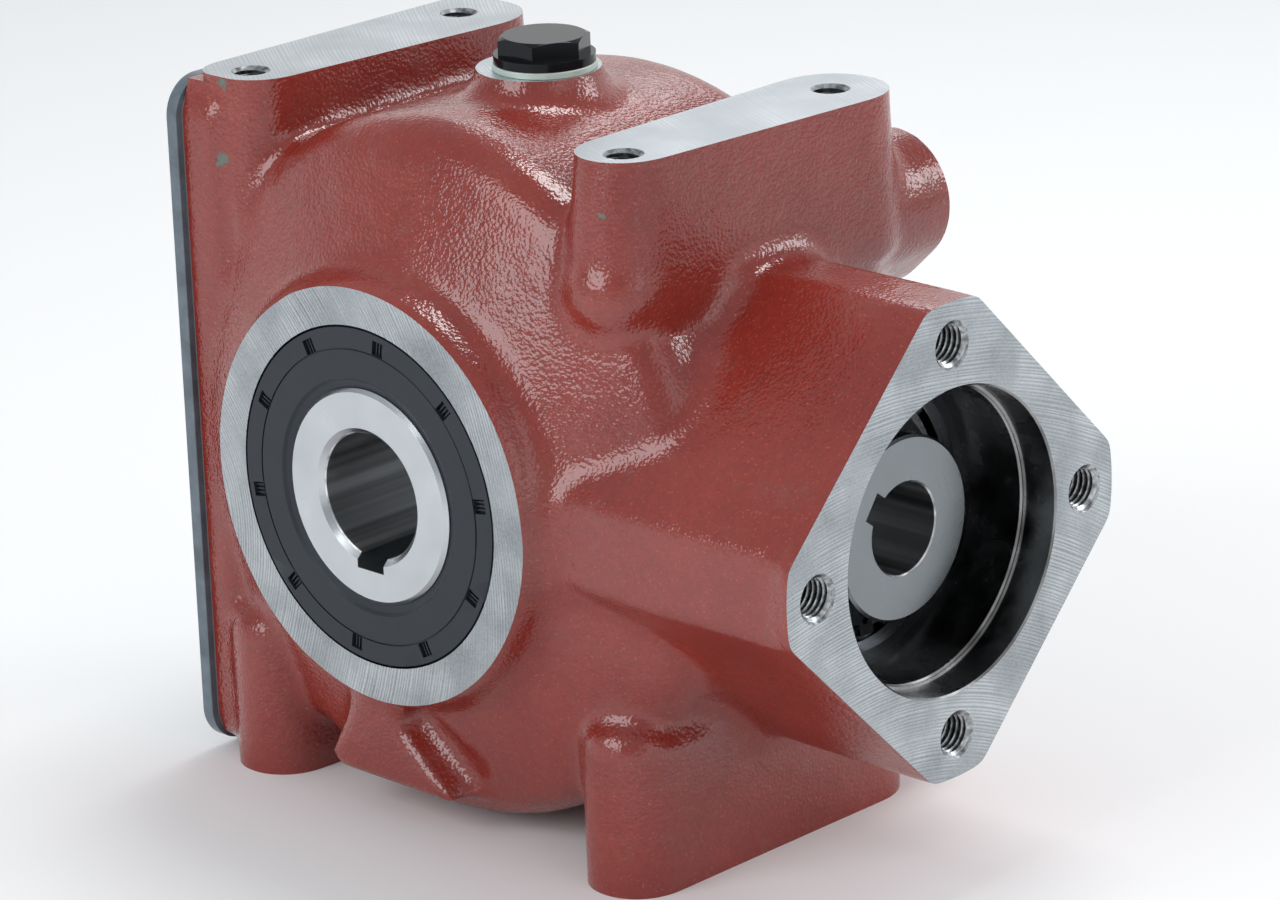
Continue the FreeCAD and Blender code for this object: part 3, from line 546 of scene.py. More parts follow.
def countersink(drill, chamfer):
    """Cone that breaks the edge of a hole whose mouth is at Z 0."""
    high = 1 * MM
    deep = chamfer - drill * 0.96
    bpy.ops.mesh.primitive_cone_add(vertices=48, radius1=drill * 0.96, radius2=chamfer + high,
                                    depth=deep + high, location=(0, 0, (high - deep) / 2))
    obj = bpy.context.object
    settle(obj)
    return obj


def place_cutter(obj, mouth, axis):
    obj.matrix_world = Matrix.Translation(mouth) @ turn_to(axis).to_matrix().to_4x4()
    settle(obj)
    return obj


# Drill radius, thread radius, pitch, depth and radius of the countersunk mouth.
M12 = (5.1 * MM, 6.15 * MM, 1.75 * MM, 17 * MM, 6.6 * MM)
M10 = (4.25 * MM, 5.15 * MM, 1.5 * MM, 14 * MM, 5.4 * MM)
tapped = [(M12, Vector((flange_x, y * bolt_circle, z * bolt_circle)), AXES["X"]) for y, z in FLANGE_HOLES]
tapped += [(M12, Vector((sx * lug_x, output_face, sz * lug_z)), AXES["Y"]) for sx, sz in SIGNS]
tapped += [(M10, Vector((sx * pad_x, sy * pad_y, side * pad_z)), AXES["Z"] * side)
           for sx, sy in SIGNS for side in (-1, 1)]
carve(blank, [place_cutter(thread_cutter(*size[:4]), mouth, axis) for size, mouth, axis in tapped])
carve(blank, [place_cutter(countersink(size[0], size[4]), mouth, axis) for size, mouth, axis in tapped])
print("tapped holes", len(tapped), "faces", len(blank.data.polygons))

# %% [markdown]
# Three holes have no thread that can be seen, because a plug fills each of them. The breather's is as
# wide as its plug's shank and lies under the washer. The other two are drilled a hair wider than their
# plugs, and a shallow round seat clears the rough skin around each.

# %% Drill the plain holes
plug_low, plug_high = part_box("drain_plug")
ROOM = 0.01 * MM
DRAIN_SEAT, LEVEL_SEAT = 13 * MM, 9.8 * MM


def plain_holes():
    breather = rod(10 * MM, (breather_x, 0, seat_z - 20 * MM), AXES["Z"], 60 * MM)
    drain = rod(plug_high.x + ROOM, (0, 0, plug_low.z), AXES["Z"], 30 * MM)
    level = rod((level_high.x - level_low.x) / 2 + ROOM, level_place, AXES["Y"], 24 * MM)
    return [breather, drain, level]


carve(blank, plain_holes())
carve(blank, [rod(DRAIN_SEAT, (0, 0, plug_low.z - 4.5 * MM), AXES["Z"], 9 * MM)])
above_level_plug = level_place + Vector((0, (level_high.y - level_low.y) / 2 + 3 * MM, 0))
carve(blank, [rod(LEVEL_SEAT, above_level_plug, AXES["Y"], 6 * MM)])
print("casting faces", len(blank.data.polygons))

# %% [markdown]
# Four finishes meet on this one piece: paint on the cast skin, bright cutter marks on the milled faces,
# dark oiled walls in the bores and bare threads. Every machined face lies on a known plane or
# cylinder, so each face gets its finish from where it lies and which way it looks.

# %% Sort the faces by finish
PAINT, MILLED, BORED, THREAD = range(4)


def face_arrays(mesh):
    count = len(mesh.polygons)
    centres = np.empty(count * 3, np.float32)
    normals = np.empty(count * 3, np.float32)
    mesh.polygons.foreach_get("center", centres)
    mesh.polygons.foreach_get("normal", normals)
    return centres.reshape(-1, 3), normals.reshape(-1, 3)


def near_plane(centres, normals, axis, place, side):
    return (abs(centres[:, axis] - place) < 0.02 * MM) & (normals[:, axis] * side > 0.99)


def from_axis(centres, axis, centre):
    across = np.delete(centres - np.array(centre, np.float32), axis, 1)
    return np.hypot(across[:, 0], across[:, 1])


def sort_faces(mesh):
    centres, normals = face_arrays(mesh)
    x, y, z = centres.T
    finish = np.full(len(centres), PAINT)
    round_x = from_axis(centres, 0, (0, 0, 0))
    round_y = from_axis(centres, 1, (0, 0, 0))
    finish[(x > 60 * MM) & (round_x < register_radius + 0.9 * MM)] = BORED
    finish[(abs(y) > 30 * MM) & (round_y < output_seat_radius + 0.6 * MM)] = BORED
    for axis, place, side in ((0, flange_x, 1), (0, cover_x, -1), (1, output_face, 1), (1, -output_face, -1),
                              (2, pad_z, 1), (2, -pad_z, -1), (2, seat_z, 1)):
        finish[near_plane(centres, normals, axis, place, side)] = MILLED
    for size, mouth, axis in tapped:
        index = [abs(v) > 0.5 for v in axis].index(True)
        depth = (np.array(mouth, np.float32)[index] - centres[:, index]) * axis[index]
        inside = (from_axis(centres, index, mouth) < size[4] + 0.05 * MM) & (depth > 0.02 * MM)
        finish[inside & (depth < size[3] + 8 * MM)] = THREAD
    return finish


finishes = sort_faces(blank.data)
print("faces by finish", [int((finishes == f).sum()) for f in (PAINT, MILLED, BORED, THREAD)])

# %% [markdown]
# Materials. Every pattern is sized in real millimetres: object coordinates are metres, so a texture
# scale of 1000 / mm gives one feature per that many millimetres. One function adds any kind of node.

# %% Material helpers
def linear(hex_colour):
    """Scene-linear RGBA from an sRGB hex colour."""
    channels = [int(hex_colour[i:i + 2], 16) / 255 for i in (1, 3, 5)]
    return [c / 12.92 if c <= 0.04045 else ((c + 0.055) / 1.055) ** 2.4 for c in channels] + [1.0]


def per(mm):
    return 1000 / mm


def add(tree, kind, sockets=(), out=0, **settings):
    """Adds one node, sets it, and fills its sockets with numbers or links."""
    made = tree.nodes.new("ShaderNode" + kind)
    for name, value in settings.items():
        setattr(made, name, value)
    for name, value in dict(sockets).items():
        if isinstance(value, bpy.types.NodeSocket):
            tree.links.new(value, made.inputs[name])
        else:
            made.inputs[name].default_value = value
    return made.outputs[out]


def new_finish(name, **sockets):
    """Material with its shader's plain values set; returns the tree and the shader."""
    material = bpy.data.materials.new(name)
    material.use_nodes = True
    shader = material.node_tree.nodes["Principled BSDF"]
    for key, value in sockets.items():
        shader.inputs[key.replace("_", " ")].default_value = value
    return material, material.node_tree, shader


def dress(tree, shader, patterns):
    """Links finished patterns to the shader's own sockets."""
    for name, pattern in patterns.items():
        tree.links.new(pattern, shader.inputs[name])


def clouds(tree, mm, low, high, start=0.0, end=1.0, **texture):
    """Soft patches some mm across, with the range low..high of the noise spread over start..end."""
    patches = add(tree, "TexNoise", {"Vector": add(tree, "TexCoord", out=3), "Scale": per(mm), **texture})
    return add(tree, "MapRange", {"Value": patches, "From Min": low, "From Max": high, "To Min": start,
                                  "To Max": end})


def wear(obj, *materials):
    for material in materials:
        obj.data.materials.append(material)


# %% [markdown]
# The casting is covered with a red-brown oxide primer that dries to a semi-gloss film. The film follows
# the sand grain, so the surface is a fine orange peel over soft lumps, and every highlight breaks into
# sparkles. The colour drifts a little, grit stands through it, and a few chips show grey-green metal.

# %% Chips in the paint
# Place on the casting and radius of each chip, in millimetres.
CHIPS = (((-71, -50, 98.4), 1.6), ((-71.2, -51, 77), 1.9), ((72, -50.5, 86), 1.0), ((137, -48, 2), 1.6),
         ((18, -60, -86.5), 1.7), ((57, -67, 1), 1.6))


def chip_spots(tree):
    """Blots of bare metal where the casting was knocked."""
    wobble = clouds(tree, 1.6, 0.3, 0.7, -1.2 * MM, 1.2 * MM, Detail=3.0, Roughness=0.7)
    spots = 0.0
    for place, radius in CHIPS:
        away = add(tree, "VectorMath", {0: add(tree, "TexCoord", out=3), 1: Vector(place) * MM}, out=1,
                   operation="DISTANCE")
        edge = add(tree, "Math", {0: away, 1: wobble}, operation="ADD")
        inside = add(tree, "Math", {0: edge, 1: radius * MM}, operation="LESS_THAN")
        spots = add(tree, "Math", {0: inside, 1: spots}, operation="MAXIMUM")
    return spots


# %% [markdown]
# The paint is one shader. Its colour is mixed from a slow drift, small blotches, dust, grit and the
# chips. Its relief is stacked, first lumps, then peel, then the step down into a chip, because a Bump
# node can stand on the one before it. The film is smooth, so its roughness is low.

# %% Oxide paint on the casting
paint, tree, shader = new_finish("oxide_paint_on_sand_casting", Specular_IOR_Level=0.8)
MIX = {"out": 2, "data_type": "RGBA"}
red = add(tree, "Mix", {0: clouds(tree, 38, 0.35, 0.65), 6: linear("#83281f"), 7: linear("#8f3228")}, **MIX)
thin = add(tree, "Mix", {0: 0.2, 6: red, 7: linear("#2a0a07")}, **MIX)
red = add(tree, "Mix", {0: clouds(tree, 2.2, 0.35, 0.7, Detail=3.0, Roughness=0.7), 6: thin, 7: red}, **MIX)
dust = clouds(tree, 14, 0.56, 0.80, 0.0, 0.25, Detail=5.0, Roughness=0.65)
dusty = add(tree, "Mix", {0: dust, 6: red, 7: linear("#7c6058")}, **MIX)
grit = clouds(tree, 0.8, 0.64, 0.70, 0.0, 0.32)
dusty = add(tree, "Mix", {0: grit, 6: dusty, 7: linear("#c4654a")}, **MIX)
specks = clouds(tree, 4.5, 0.79, 0.80, Detail=3.0, Roughness=0.6)
chip = add(tree, "Math", {0: specks, 1: chip_spots(tree)}, operation="MAXIMUM")

# Real sand grain is about as fine as one pixel of the picture, so the peel is drawn about 1 mm wide.
place = add(tree, "TexCoord", out=3)
lumps = add(tree, "Bump", {"Distance": 0.30 * MM, "Height": add(
    tree, "TexNoise", {"Vector": place, "Scale": per(8), "Detail": 1.0})})
grains = add(tree, "TexVoronoi", {"Vector": place, "Scale": per(1.1), "Smoothness": 0.35}, feature="SMOOTH_F1")
fine = add(tree, "TexNoise", {"Vector": place, "Scale": per(0.55), "Detail": 0.5})
fine = add(tree, "Math", {0: fine, 1: 0.55}, operation="MULTIPLY")
height = add(tree, "Math", {0: fine, 1: grains}, operation="SUBTRACT")
peel = add(tree, "Bump", {"Height": height, "Distance": 0.12 * MM, "Normal": lumps})
dress(tree, shader, {"Base Color": add(tree, "Mix", {0: chip, 6: dusty, 7: linear("#5d6258")}, **MIX),
                     "Roughness": clouds(tree, 6, 0.3, 0.7, 0.11, 0.18, Detail=3.0),
                     "Normal": add(tree, "Bump", {"Height": chip, "Distance": -0.08 * MM, "Normal": peel})})
print(paint.name, "nodes", len(tree.nodes))

# %% [markdown]
# A face mill leaves arcs as it crosses a face. The metal is bare cast iron, so it is grey, finely
# speckled with graphite and only half shiny. The boss rings, the flange and the pads were cut by passes
# from different sides, so each gets arcs about its own far centre. A sine of the distance from that
# centre gives even rings, and a noise along the same distance shifts them, as an uneven feed does.

# %% Cutter marks
def marks(tree, centre, keep, mm, wobble=0.15):
    """Rings about a centre, as a cutter leaves them; keep drops the cutter's own axis."""
    place = add(tree, "TexCoord", out=3)
    flat = add(tree, "VectorMath", {0: place, 1: keep}, operation="MULTIPLY")
    away = add(tree, "VectorMath", {0: flat, 1: centre}, operation="DISTANCE", out=1)
    drift = add(tree, "TexNoise", {"W": away, "Scale": per(mm * 2.6), "Detail": 2.0}, noise_dimensions="1D")
    waver = add(tree, "TexNoise", {"Vector": place, "Scale": per(25), "Detail": 1.0})
    waver = add(tree, "Math", {0: waver, 1: wobble * 6}, operation="MULTIPLY")
    drift = add(tree, "Math", {0: drift, 1: 1.3}, operation="MULTIPLY")
    shaky = add(tree, "Math", {0: waver, 1: drift}, operation="ADD")
    rings = add(tree, "Math", {0: away, 1: per(mm)}, operation="MULTIPLY")
    rings = add(tree, "Math", {0: rings, 1: shaky}, operation="ADD")
    turn = add(tree, "Math", {0: rings, 1: math.tau}, operation="MULTIPLY")
    wave = add(tree, "Math", {0: turn, 1: 0.0}, operation="SINE")
    return add(tree, "MapRange", {"Value": wave, "From Min": -1, "From Max": 1, "To Min": 0.0, "To Max": 1.0})


# %% [markdown]
# The arcs tint the metal as well as grooving it, so that they show under a soft light too. A real feed
# is a few tenths of a millimetre, and graphite is finer still. Both are drawn coarser so that they show:
# the arcs about 1 mm apart and the specks 0.6 mm wide.

# %% Milled iron faces
def milled_iron(name, centre, keep, mm, low="#7c8286", high="#cfd4d7"):
    """Bare milled cast iron; the arcs fade in and out, as where a cutter bites more or less."""
    material, tree, shader = new_finish(name, Metallic=1.0)
    lines = add(tree, "Math", {0: marks(tree, centre, keep, mm), 1: clouds(tree, 15, 0.38, 0.62, 0.1, 0.5)},
                operation="MULTIPLY")
    graphite = {"Detail": 3.0, "Roughness": 0.7}
    specks = add(tree, "Math", {0: clouds(tree, 0.6, 0.3, 0.7, 0.0, 0.3, **graphite),
                                1: clouds(tree, 21, 0.35, 0.65, 0.0, 0.25)}, operation="ADD")
    shade = add(tree, "Math", {0: lines, 1: specks}, operation="ADD")
    grooves = add(tree, "Bump", {"Height": lines, "Distance": 0.03 * MM})
    grain = add(tree, "TexNoise", {"Vector": add(tree, "TexCoord", out=3), "Scale": per(0.6), **graphite})
    dress(tree, shader, {
        "Base Color": add(tree, "Mix", {0: shade, 6: linear(low), 7: linear(high)}, **MIX),
        "Roughness": clouds(tree, 0.6, 0.3, 0.7, 0.30, 0.46, **graphite),
        "Normal": add(tree, "Bump", {"Height": grain, "Distance": 0.02 * MM, "Normal": grooves})})
    return material


flange_marks = milled_iron("face_milled_flange", (0, -0.03, -0.16), (0, 1, 1), 0.95)
boss_marks = milled_iron("face_milled_boss", (-0.10, 0, -0.02), (1, 0, 1), 1.0)
pad_marks = milled_iron("face_milled_pads", (0.3, 0.5, 0), (1, 1, 0), 1.1, "#a2a8ac", "#ced3d7")
print("milled finishes", [m.name for m in (flange_marks, boss_marks, pad_marks)])

# %% [markdown]
# Inside, the bored walls and the turned register are smooth iron under a film of oil. The smears change
# both the tint and the gloss, so the dark wall shows soft streaks. The threads are bare and brighter,
# because the tap has just cut them, and their flanks flash light and dark.

# %% Bored walls and threads
bored, tree, shader = new_finish("oiled_bored_iron", Metallic=1.0)
smear = {"Detail": 3.0, "Roughness": 0.6}
dress(tree, shader, {
    "Base Color": add(tree, "Mix", {0: clouds(tree, 13, 0.35, 0.7, **smear), 6: linear("#6e6d6c"),
                                    7: linear("#a3a4a5")}, **MIX),
    "Roughness": clouds(tree, 13, 0.3, 0.7, 0.16, 0.32, **smear)})
tapped_iron, tree, shader = new_finish("tapped_iron_thread", Metallic=1.0, Roughness=0.28)
dress(tree, shader, {"Base Color": add(tree, "Mix", {0: clouds(tree, 1.5, 0.35, 0.65), 6: linear("#76797b"),
                                                     7: linear("#bdc0c2")}, **MIX)})
print("cut finishes", bored.name, tapped_iron.name)

# %% [markdown]
# The casting has six material slots. Milled faces are told apart by the way they look: the output
# faces look along Y, the pads along Z and the two flanges along X. Milled faces are shaded flat, and
# the rest smooth, so that the edge between cast skin and cut face stays crisp.

# %% Dress the casting
casting_normals = face_arrays(blank.data)[1]
sideways = abs(casting_normals[:, 1]) > 0.9
upright = abs(casting_normals[:, 2]) > 0.9
slots = np.select([finishes == PAINT, finishes == BORED, finishes == THREAD, sideways, upright],
                  [0, 4, 5, 2, 3], 1)
blank.data.materials.clear()
wear(blank, paint, flange_marks, boss_marks, pad_marks, bored, tapped_iron)
blank.data.polygons.foreach_set("material_index", slots.astype(np.int32))
only(blank)
bpy.ops.object.shade_smooth_by_angle(angle=math.radians(32))
blank.data.polygons.foreach_set("use_smooth", (finishes != MILLED).tolist())
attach(blank, "housing")
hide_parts("housing")
print("faces by slot", np.bincount(slots).tolist())

# %% [markdown]
# The moulded plastic, rubber and plated parts keep the solid model's shape, but no real edge is
# perfectly sharp. Each of them gets a copy with every edge eased by a fraction of a millimetre, and
# that thin rounded edge is what catches the light.

# %% Ease the edges of the small parts
def body_of(node):
    return next(body for body, names in frame["record"]["behaviour"]["bodies"].items() if node in names)


def eased(node, width):
    """Copy of a part with every edge sharper than 25 degrees rounded to a width."""
    obj = joined_copy(node, node + "_eased")
    bpy.ops.object.mode_set(mode="EDIT")
    bpy.ops.mesh.select_all(action="SELECT")
    bpy.ops.mesh.dissolve_limited(angle_limit=math.radians(0.5))
    bpy.ops.object.mode_set(mode="OBJECT")
    finish_modifier(obj, "BEVEL", width=width, segments=2, limit_method="ANGLE",
                    angle_limit=math.radians(25), harden_normals=False, use_clamp_overlap=True)
    only(obj)
    bpy.ops.object.shade_smooth_by_angle(angle=math.radians(35))
    finish_modifier(obj, "WEIGHTED_NORMAL", keep_sharp=True)
    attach(obj, body_of(node))
    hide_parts(node)
    return obj


# %% [markdown]
# A rotary shaft seal is moulded rubber around a steel ring. Its face has ten small notches with fine
# ribs in their floors, one thin moulded circle, and a narrow gap where it meets the bore. The circle and
# the gap are cut with square rings. One rib is modelled and copied, turned to each notch, and the
# set is joined to the seal.

# %% Moulded details of the seals
SEAL_RADIUS, NOTCHES, NOTCH_RADIUS, NOTCH_FLOOR = output_seat_radius, 10, 43.2 * MM, 1.6 * MM
RIB_HALF_LENGTH, RIB_HALF_WIDTH, RIB_PLACES = 2.2 * MM, 0.22 * MM, (-1.1, 0, 1.1)
CIRCLE_INNER, CIRCLE_OUTER, CIRCLE_DEPTH = 40.7 * MM, 41.2 * MM, 0.45 * MM
GAP_WIDTH, GAP_DEPTH = 0.65 * MM, 1.3 * MM


def ring_cutter(inner, outer, low, high, axis):
    """Square ring about an axis, to cut a groove."""
    out = AXES["X"] if axis != AXES["X"] else AXES["Z"]
    corners = [out * r + axis * a for r, a in ((inner, low), (outer, low), (outer, high), (inner, high))]
    mesh = bpy.data.meshes.new("ring")
    mesh.from_pydata(corners, [(0, 1), (1, 2), (2, 3), (3, 0)], [])
    obj = bpy.data.objects.new("ring", mesh)
    bpy.context.scene.collection.objects.link(obj)
    only(obj)
    bpy.ops.object.mode_set(mode="EDIT")
    bpy.ops.mesh.select_all(action="SELECT")
    bpy.ops.mesh.spin(steps=128, angle=math.tau, center=(0, 0, 0), axis=axis)
    bpy.ops.mesh.select_all(action="SELECT")
    bpy.ops.mesh.remove_doubles(threshold=0.001 * MM)
    bpy.ops.mesh.normals_make_consistent(inside=False)
    bpy.ops.object.mode_set(mode="OBJECT")
    return obj


def notch_offset(node, side):
    """Angle of the first notch, read from the floor corners of the notches."""
    floor = side * (output_face - NOTCH_FLOOR)
    corners = [v.co for v in nodes[node].data.vertices if abs(v.co.y - floor) < 0.01 * MM]
    corners = [c for c in corners if abs(math.hypot(c.x, c.z) - NOTCH_RADIUS) < 4 * MM]
    step = math.tau / NOTCHES
    return sum(math.atan2(c.z, c.x) % step for c in corners) / len(corners)


def notch_ribs(offset, side):
    """Three thin moulded ribs in the floor of each notch: one rib, copied round the seal."""
    floor = side * (output_face - NOTCH_FLOOR)
    low, high = sorted((floor + 0.1 * MM * side, floor - 0.2 * MM * side + 1.0 * MM * side))
    rib = box((NOTCH_RADIUS - RIB_HALF_LENGTH, low, -RIB_HALF_WIDTH),
              (NOTCH_RADIUS + RIB_HALF_LENGTH, high, RIB_HALF_WIDTH))
    ribs = []
    for notch in range(NOTCHES):
        turn = Matrix.Rotation(-(offset + notch * math.tau / NOTCHES), 4, "Y")
        for place in RIB_PLACES:
            copy = bpy.data.objects.new("rib", rib.data.copy())
            bpy.context.scene.collection.objects.link(copy)
            copy.data.transform(turn @ Matrix.Translation((0, 0, place * MM)))
            ribs.append(copy)
    bpy.data.objects.remove(rib)
    return ribs


def dressed_seal(node, side):
    """The seal with eased edges, a thin moulded circle, a gap at its rim and ribs in its notches."""
    obj = eased(node, 0.2 * MM)
    low, high = sorted((side * (output_face - CIRCLE_DEPTH), side * (output_face + 1 * MM)))
    gap_low, gap_high = sorted((side * (output_face - GAP_DEPTH), side * (output_face + 1 * MM)))
    carve(obj, [ring_cutter(CIRCLE_INNER, CIRCLE_OUTER, low, high, AXES["Y"]),
                ring_cutter(SEAL_RADIUS - GAP_WIDTH, SEAL_RADIUS + 0.5 * MM, gap_low, gap_high, AXES["Y"])])
    ribs = join(notch_ribs(notch_offset(node, side), side), "ribs")
    finish_modifier(obj, "BOOLEAN", operation="UNION", solver="MANIFOLD", object=ribs)
    bpy.data.objects.remove(ribs)
    only(obj)
    bpy.ops.object.shade_smooth_by_angle(angle=math.radians(30))
    finish_modifier(obj, "WEIGHTED_NORMAL", keep_sharp=True)
    print(node, "faces", len(obj.data.polygons))
    return obj


# %% [markdown]
# Each small part gets the edge that suits how it is made: the two seals the finest, because rubber fills
# its mould to the corners, the washer and the moulded plug a wider one, and the cover's plate the widest.

# %% Seals, plug, washer and cover
front_seal = dressed_seal("front_output_seal", -1)
rear_seal = dressed_seal("rear_output_seal", 1)
plug = eased("breather_plug", 0.35 * MM)
washer = eased("breather_washer", 0.25 * MM)
cover_plate = eased("cover", 0.5 * MM)
print("eased", [len(o.data.polygons) for o in (plug, washer, cover_plate)])

# %% [markdown]
# Turned steel faces carry fine rings about the shaft, which stretch a highlight around it. Inside the
# bore, light and dark bands run into the hole. They are painted highlights, standing for the light that
# the turned rings spread along it. The mottle function serves every other finish: its tint and gloss
# drift together, as on any handled surface.

# %% Steel, rubber and plastic
def turned_steel(name, colour, keep, bore, roughness=0.18, mm=0.35):
    """Turned steel with rings, drawn coarser than the real 0.1 mm feed; painted highlights in bands along the bore's
    wall.
    """
    material, tree, shader = new_finish(name, Metallic=1.0)
    rings = marks(tree, (0, 0, 0), keep, mm, 0.05)
    dark = [c * 0.88 for c in linear(colour)[:3]] + [1.0]
    face = add(tree, "Mix", {0: clouds(tree, 14, 0.3, 0.7), 6: dark, 7: linear(colour)}, **MIX)
    flat = add(tree, "VectorMath", {0: add(tree, "TexCoord", out=3), 1: keep}, operation="MULTIPLY")
    away = add(tree, "VectorMath", {0: flat}, operation="LENGTH", out=1)
    inside = add(tree, "Math", {0: away, 1: bore + 0.35 * MM}, operation="LESS_THAN")
    # Light and dark bands along the bore's wall are painted highlights, for the light that the turned rings spread
    # along the hole.
    painted_streak_highlights = add(tree, "TexNoise", {"Vector": flat, "Scale": per(4.5), "Detail": 2.0})
    painted_streak_highlights = add(tree, "MapRange", {"Value": painted_streak_highlights, "From Min": 0.35, "From Max": 0.65})
    wall = add(tree, "Mix", {0: painted_streak_highlights, 6: linear("#85878a"), 7: linear("#f4f5f6")}, **MIX)
    softer = add(tree, "Math", {0: inside, 1: 0.1}, operation="MULTIPLY")
    polish = clouds(tree, 14, 0.3, 0.7, roughness, roughness + 0.12)
    dress(tree, shader, {"Base Color": add(tree, "Mix", {0: inside, 6: face, 7: wall}, **MIX),
                         "Roughness": add(tree, "Math", {0: polish, 1: softer}, operation="ADD"),
                         "Normal": add(tree, "Bump", {"Height": rings, "Distance": 0.003 * MM})})
    return material


def plain_finish(name, colour, roughness, metallic=0.0, grain_mm=1.0, relief_mm=0.01, spread=0.12, **more):
    """Material with a slight mottle in colour and roughness and a fine relief."""
    material, tree, shader = new_finish(name, Metallic=metallic, **more)
    mottle = {"mm": grain_mm * 7, "low": 0.3, "high": 0.7, "Detail": 3.0, "Roughness": 0.6}
    dark = [c * (1 - spread) for c in linear(colour)[:3]] + [1.0]
    grain = add(tree, "TexNoise", {"Vector": add(tree, "TexCoord", out=3), "Scale": per(grain_mm), "Detail": 2.0})
    dress(tree, shader, {
        "Base Color": add(tree, "Mix", {0: clouds(tree, **mottle), 6: dark, 7: linear(colour)}, **MIX),
        "Roughness": clouds(tree, start=roughness * 0.85, end=roughness * 1.15, **mottle),
        "Normal": add(tree, "Bump", {"Height": grain, "Distance": relief_mm * MM})})
    return material


# %% [markdown]
# Each finish is one line. The output shaft is ground and bright, the pinion shaft is darker under oil.
# Nitrile rubber is a dark slate grey that hardly shines. The nylon plug is black and glossy, so it shows
# small sharp lights. The zinc washer is pale and satin, and the cover's coating is blotched blue-grey.
# The gasket is matt grey paper. Zinc-plated bolts are pale, bearing steel is ground bright and smooth,
# and the cage, the springs and the gear are darker from pressing, blackening and hardening. The grain
# of all of them is drawn coarser than it is, so that it shows.

# %% Finishes of the parts
OUTPUT_BORE = mounts["output_bore"]["dims"]["r_mm"] * MM
INPUT_BORE = mounts["input_bore"]["dims"]["r_mm"] * MM
output_steel = turned_steel("ground_output_shaft", "#cbd0d3", (1, 0, 1), OUTPUT_BORE)
pinion_steel = turned_steel("oiled_pinion_shaft", "#868b8e", (0, 1, 1), INPUT_BORE)
rubber = plain_finish("nitrile_seal_rubber", "#262b31", 0.45, grain_mm=0.8, relief_mm=0.012,
                       Specular_IOR_Level=0.35)
nylon = plain_finish("black_nylon_plug", "#14171b", 0.17, grain_mm=1.5, relief_mm=0.006,
                      Specular_IOR_Level=0.2)
zinc_washer = plain_finish("zinc_sealing_washer", "#c6d6cc", 0.4, metallic=0.3)
coating = plain_finish("blue_grey_cover_coating", "#68757f", 0.34, grain_mm=1.2, relief_mm=0.03, spread=0.45)
gasket_paper = plain_finish("gasket_paper", "#686a6c", 0.8, grain_mm=0.6)
plating = plain_finish("zinc_plated_steel", "#c3c6c4", 0.3, metallic=1.0)
bearing = plain_finish("ground_bearing_steel", "#b4b8bb", 0.16, metallic=1.0, spread=0.08)
cage = plain_finish("pressed_cage_steel", "#8d9092", 0.3, metallic=1.0)
spring = plain_finish("blackened_spring_steel", "#3c3d40", 0.28, metallic=0.9)
gear = plain_finish("hardened_gear_steel", "#7f8285", 0.25, metallic=1.0)
print("finishes", len(bpy.data.materials))

# %% [markdown]
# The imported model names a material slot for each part, so one table from slot to finish dresses them
# all, and a new part needs no line of its own. The eased copies wear what their parts wear.

# %% Put the finishes on
FINISH_OF_SLOT = {"shaft_steel": output_steel, "gear_steel": gear, "spring_steel": spring,
                  "seal_rubber": rubber, "cage_steel": cage, "bearing_steel": bearing, "zinc": plating,
                  "gasket": gasket_paper, "cover_steel": coating, "black_plastic": nylon,
                  "washer_metal": zinc_washer}
FINISH_OF_NODE = {"pinion_shaft": pinion_steel}
slot_of = {part["node"]: part["material_slot"] for part in frame["record"]["subparts"]}
for name, obj in nodes.items():
    obj.data.materials.clear()
    wear(obj, FINISH_OF_NODE.get(name) or FINISH_OF_SLOT.get(slot_of[name], paint))
for obj, name in ((plug, "breather_plug"), (washer, "breather_washer"), (cover_plate, "cover"),
                  (front_seal, "front_output_seal"), (rear_seal, "rear_output_seal")):
    obj.data.materials.clear()
    wear(obj, FINISH_OF_SLOT[slot_of[name]])
print("dressed parts", len(nodes))

# %% [markdown]
# The studio is plain. One large soft light stands before the drum's face, to the left of the camera and
# higher, for a broad sheen. A smaller one hangs overhead, a little behind. Two more stand behind, because
# the milled pads mirror the back of the room, and a weak one at the right is for the flange's side. An
# area lamp is used for each, since a large one gives a soft edge to every light on gloss. The floor is
# white paper, and it keeps the object's shadow.

# %% Floor and lamps
bpy.ops.mesh.primitive_plane_add(size=12, location=(0, 0, housing_low.z))
floor = bpy.context.object
floor.name = "studio_floor"
wear(floor, new_finish("white_studio_paper", Base_Color=(0.93, 0.93, 0.93, 1), Roughness=0.9,
                       Specular_IOR_Level=0.1)[0])


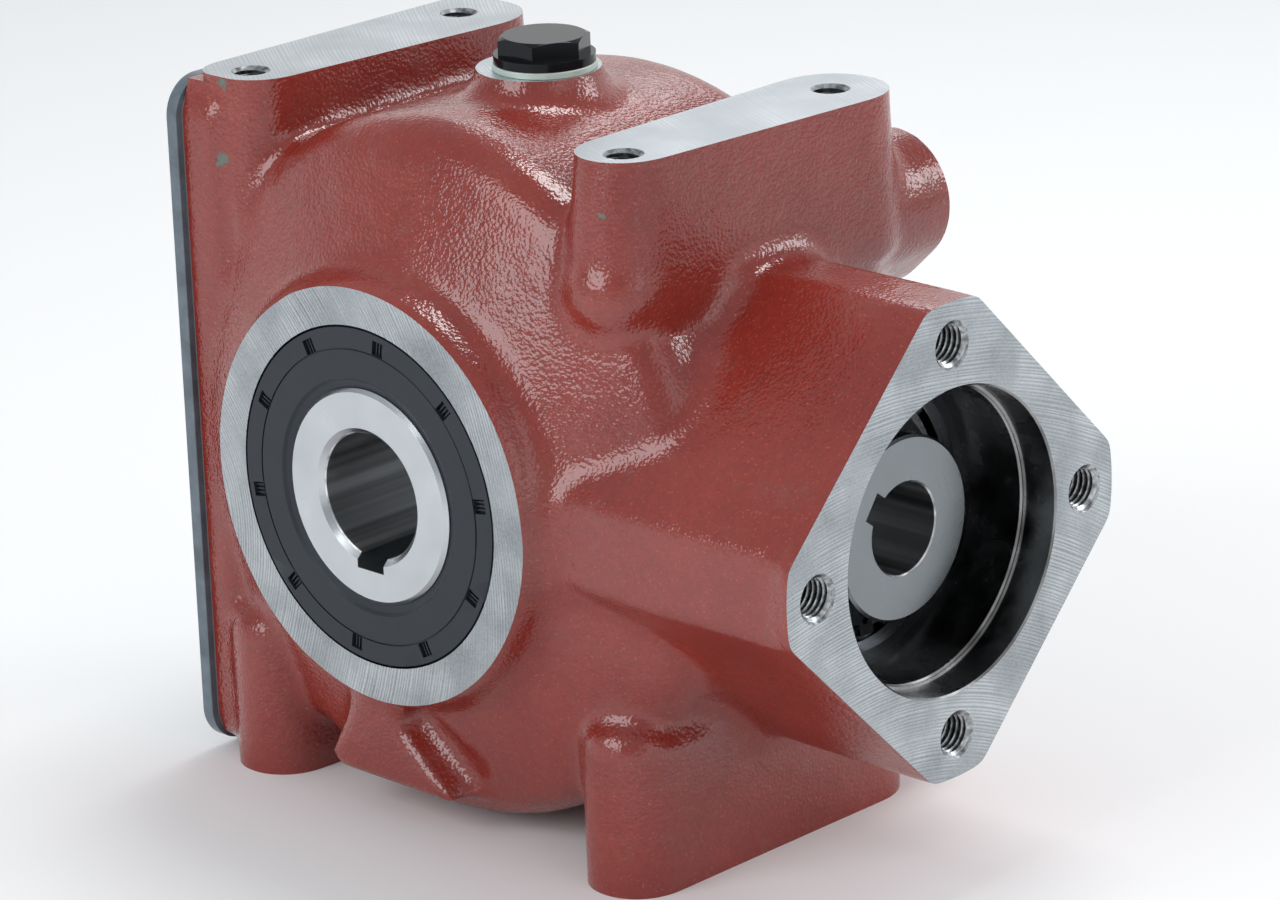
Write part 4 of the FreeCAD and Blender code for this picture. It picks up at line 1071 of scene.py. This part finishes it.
def softbox(name, place, aim, size, power, colour=(1, 1, 1)):
    bpy.ops.object.light_add(type="AREA", location=place)
    lamp = bpy.context.object
    lamp.name = name
    lamp.data.shape = "RECTANGLE"
    lamp.data.size, lamp.data.size_y = size
    lamp.data.energy = power
    lamp.data.color = colour
    lamp.rotation_euler = (Vector(aim) - Vector(place)).to_track_quat("-Z", "Y").to_euler()
    return lamp


softbox("softbox_front", (-0.17, -1.35, 0.68), (0, 0, 0), (0.95, 0.95), 9.5, (0.97, 0.98, 1.0))
softbox("softbox_top", (-0.02, 0.42, 1.25), (0, 0, 0), (0.5, 0.45), 6)
softbox("softbox_back_right", (0.88, 1.0, 0.66), (0, 0, 0), (0.55, 0.45), 4, (0.94, 0.97, 1.0))
softbox("softbox_back_left", (-0.66, 0.92, 0.92), (0, 0, 0), (0.4, 0.35), 1.3, (0.94, 0.97, 1.0))
softbox("softbox_right", (1.3, -0.25, 0.55), (0.1, 0, 0), (0.6, 0.9), 1)

# %% [markdown]
# The room itself is the world's light. It is white behind the object up to well above the horizon, and
# has a dimmer, slightly blue ceiling that comes down past the horizon in front. It is one gradient on
# the direction of view, with no picture, and the camera, the metal and the paint all see the same one.

# %% Room
CEILING = 0.5
CEILING_START, CEILING_END = 0.2, 0.42
CEILING_TINT, CEILING_LEAN = (0.93, 0.965, 1, 1), -0.3
world = bpy.data.worlds.new("studio_room")
bpy.context.scene.world = world
world.use_nodes = True
tree = world.node_tree
room = tree.nodes["Background"]
direction = tree.nodes.new("ShaderNodeSeparateXYZ")
tree.links.new(add(tree, "TexCoord"), direction.inputs[0])
lean = add(tree, "Math", {0: direction.outputs["Y"], 1: CEILING_LEAN}, operation="MULTIPLY")
steepness = add(tree, "Math", {0: direction.outputs["Z"], 1: lean}, operation="ADD")
overhead = add(tree, "MapRange", {"Value": steepness, "From Min": CEILING_START, "From Max": CEILING_END})
dress(tree, room, {"Strength": add(tree, "MapRange", {"Value": overhead, "To Min": 1.0, "To Max": CEILING}),
                   "Color": add(tree, "Mix", {0: overhead, 6: (1, 1, 1, 1), 7: CEILING_TINT}, **MIX)})
bpy.context.scene.view_settings.view_transform = "Standard"
print("ceiling", CEILING, "nodes", len(tree.nodes))
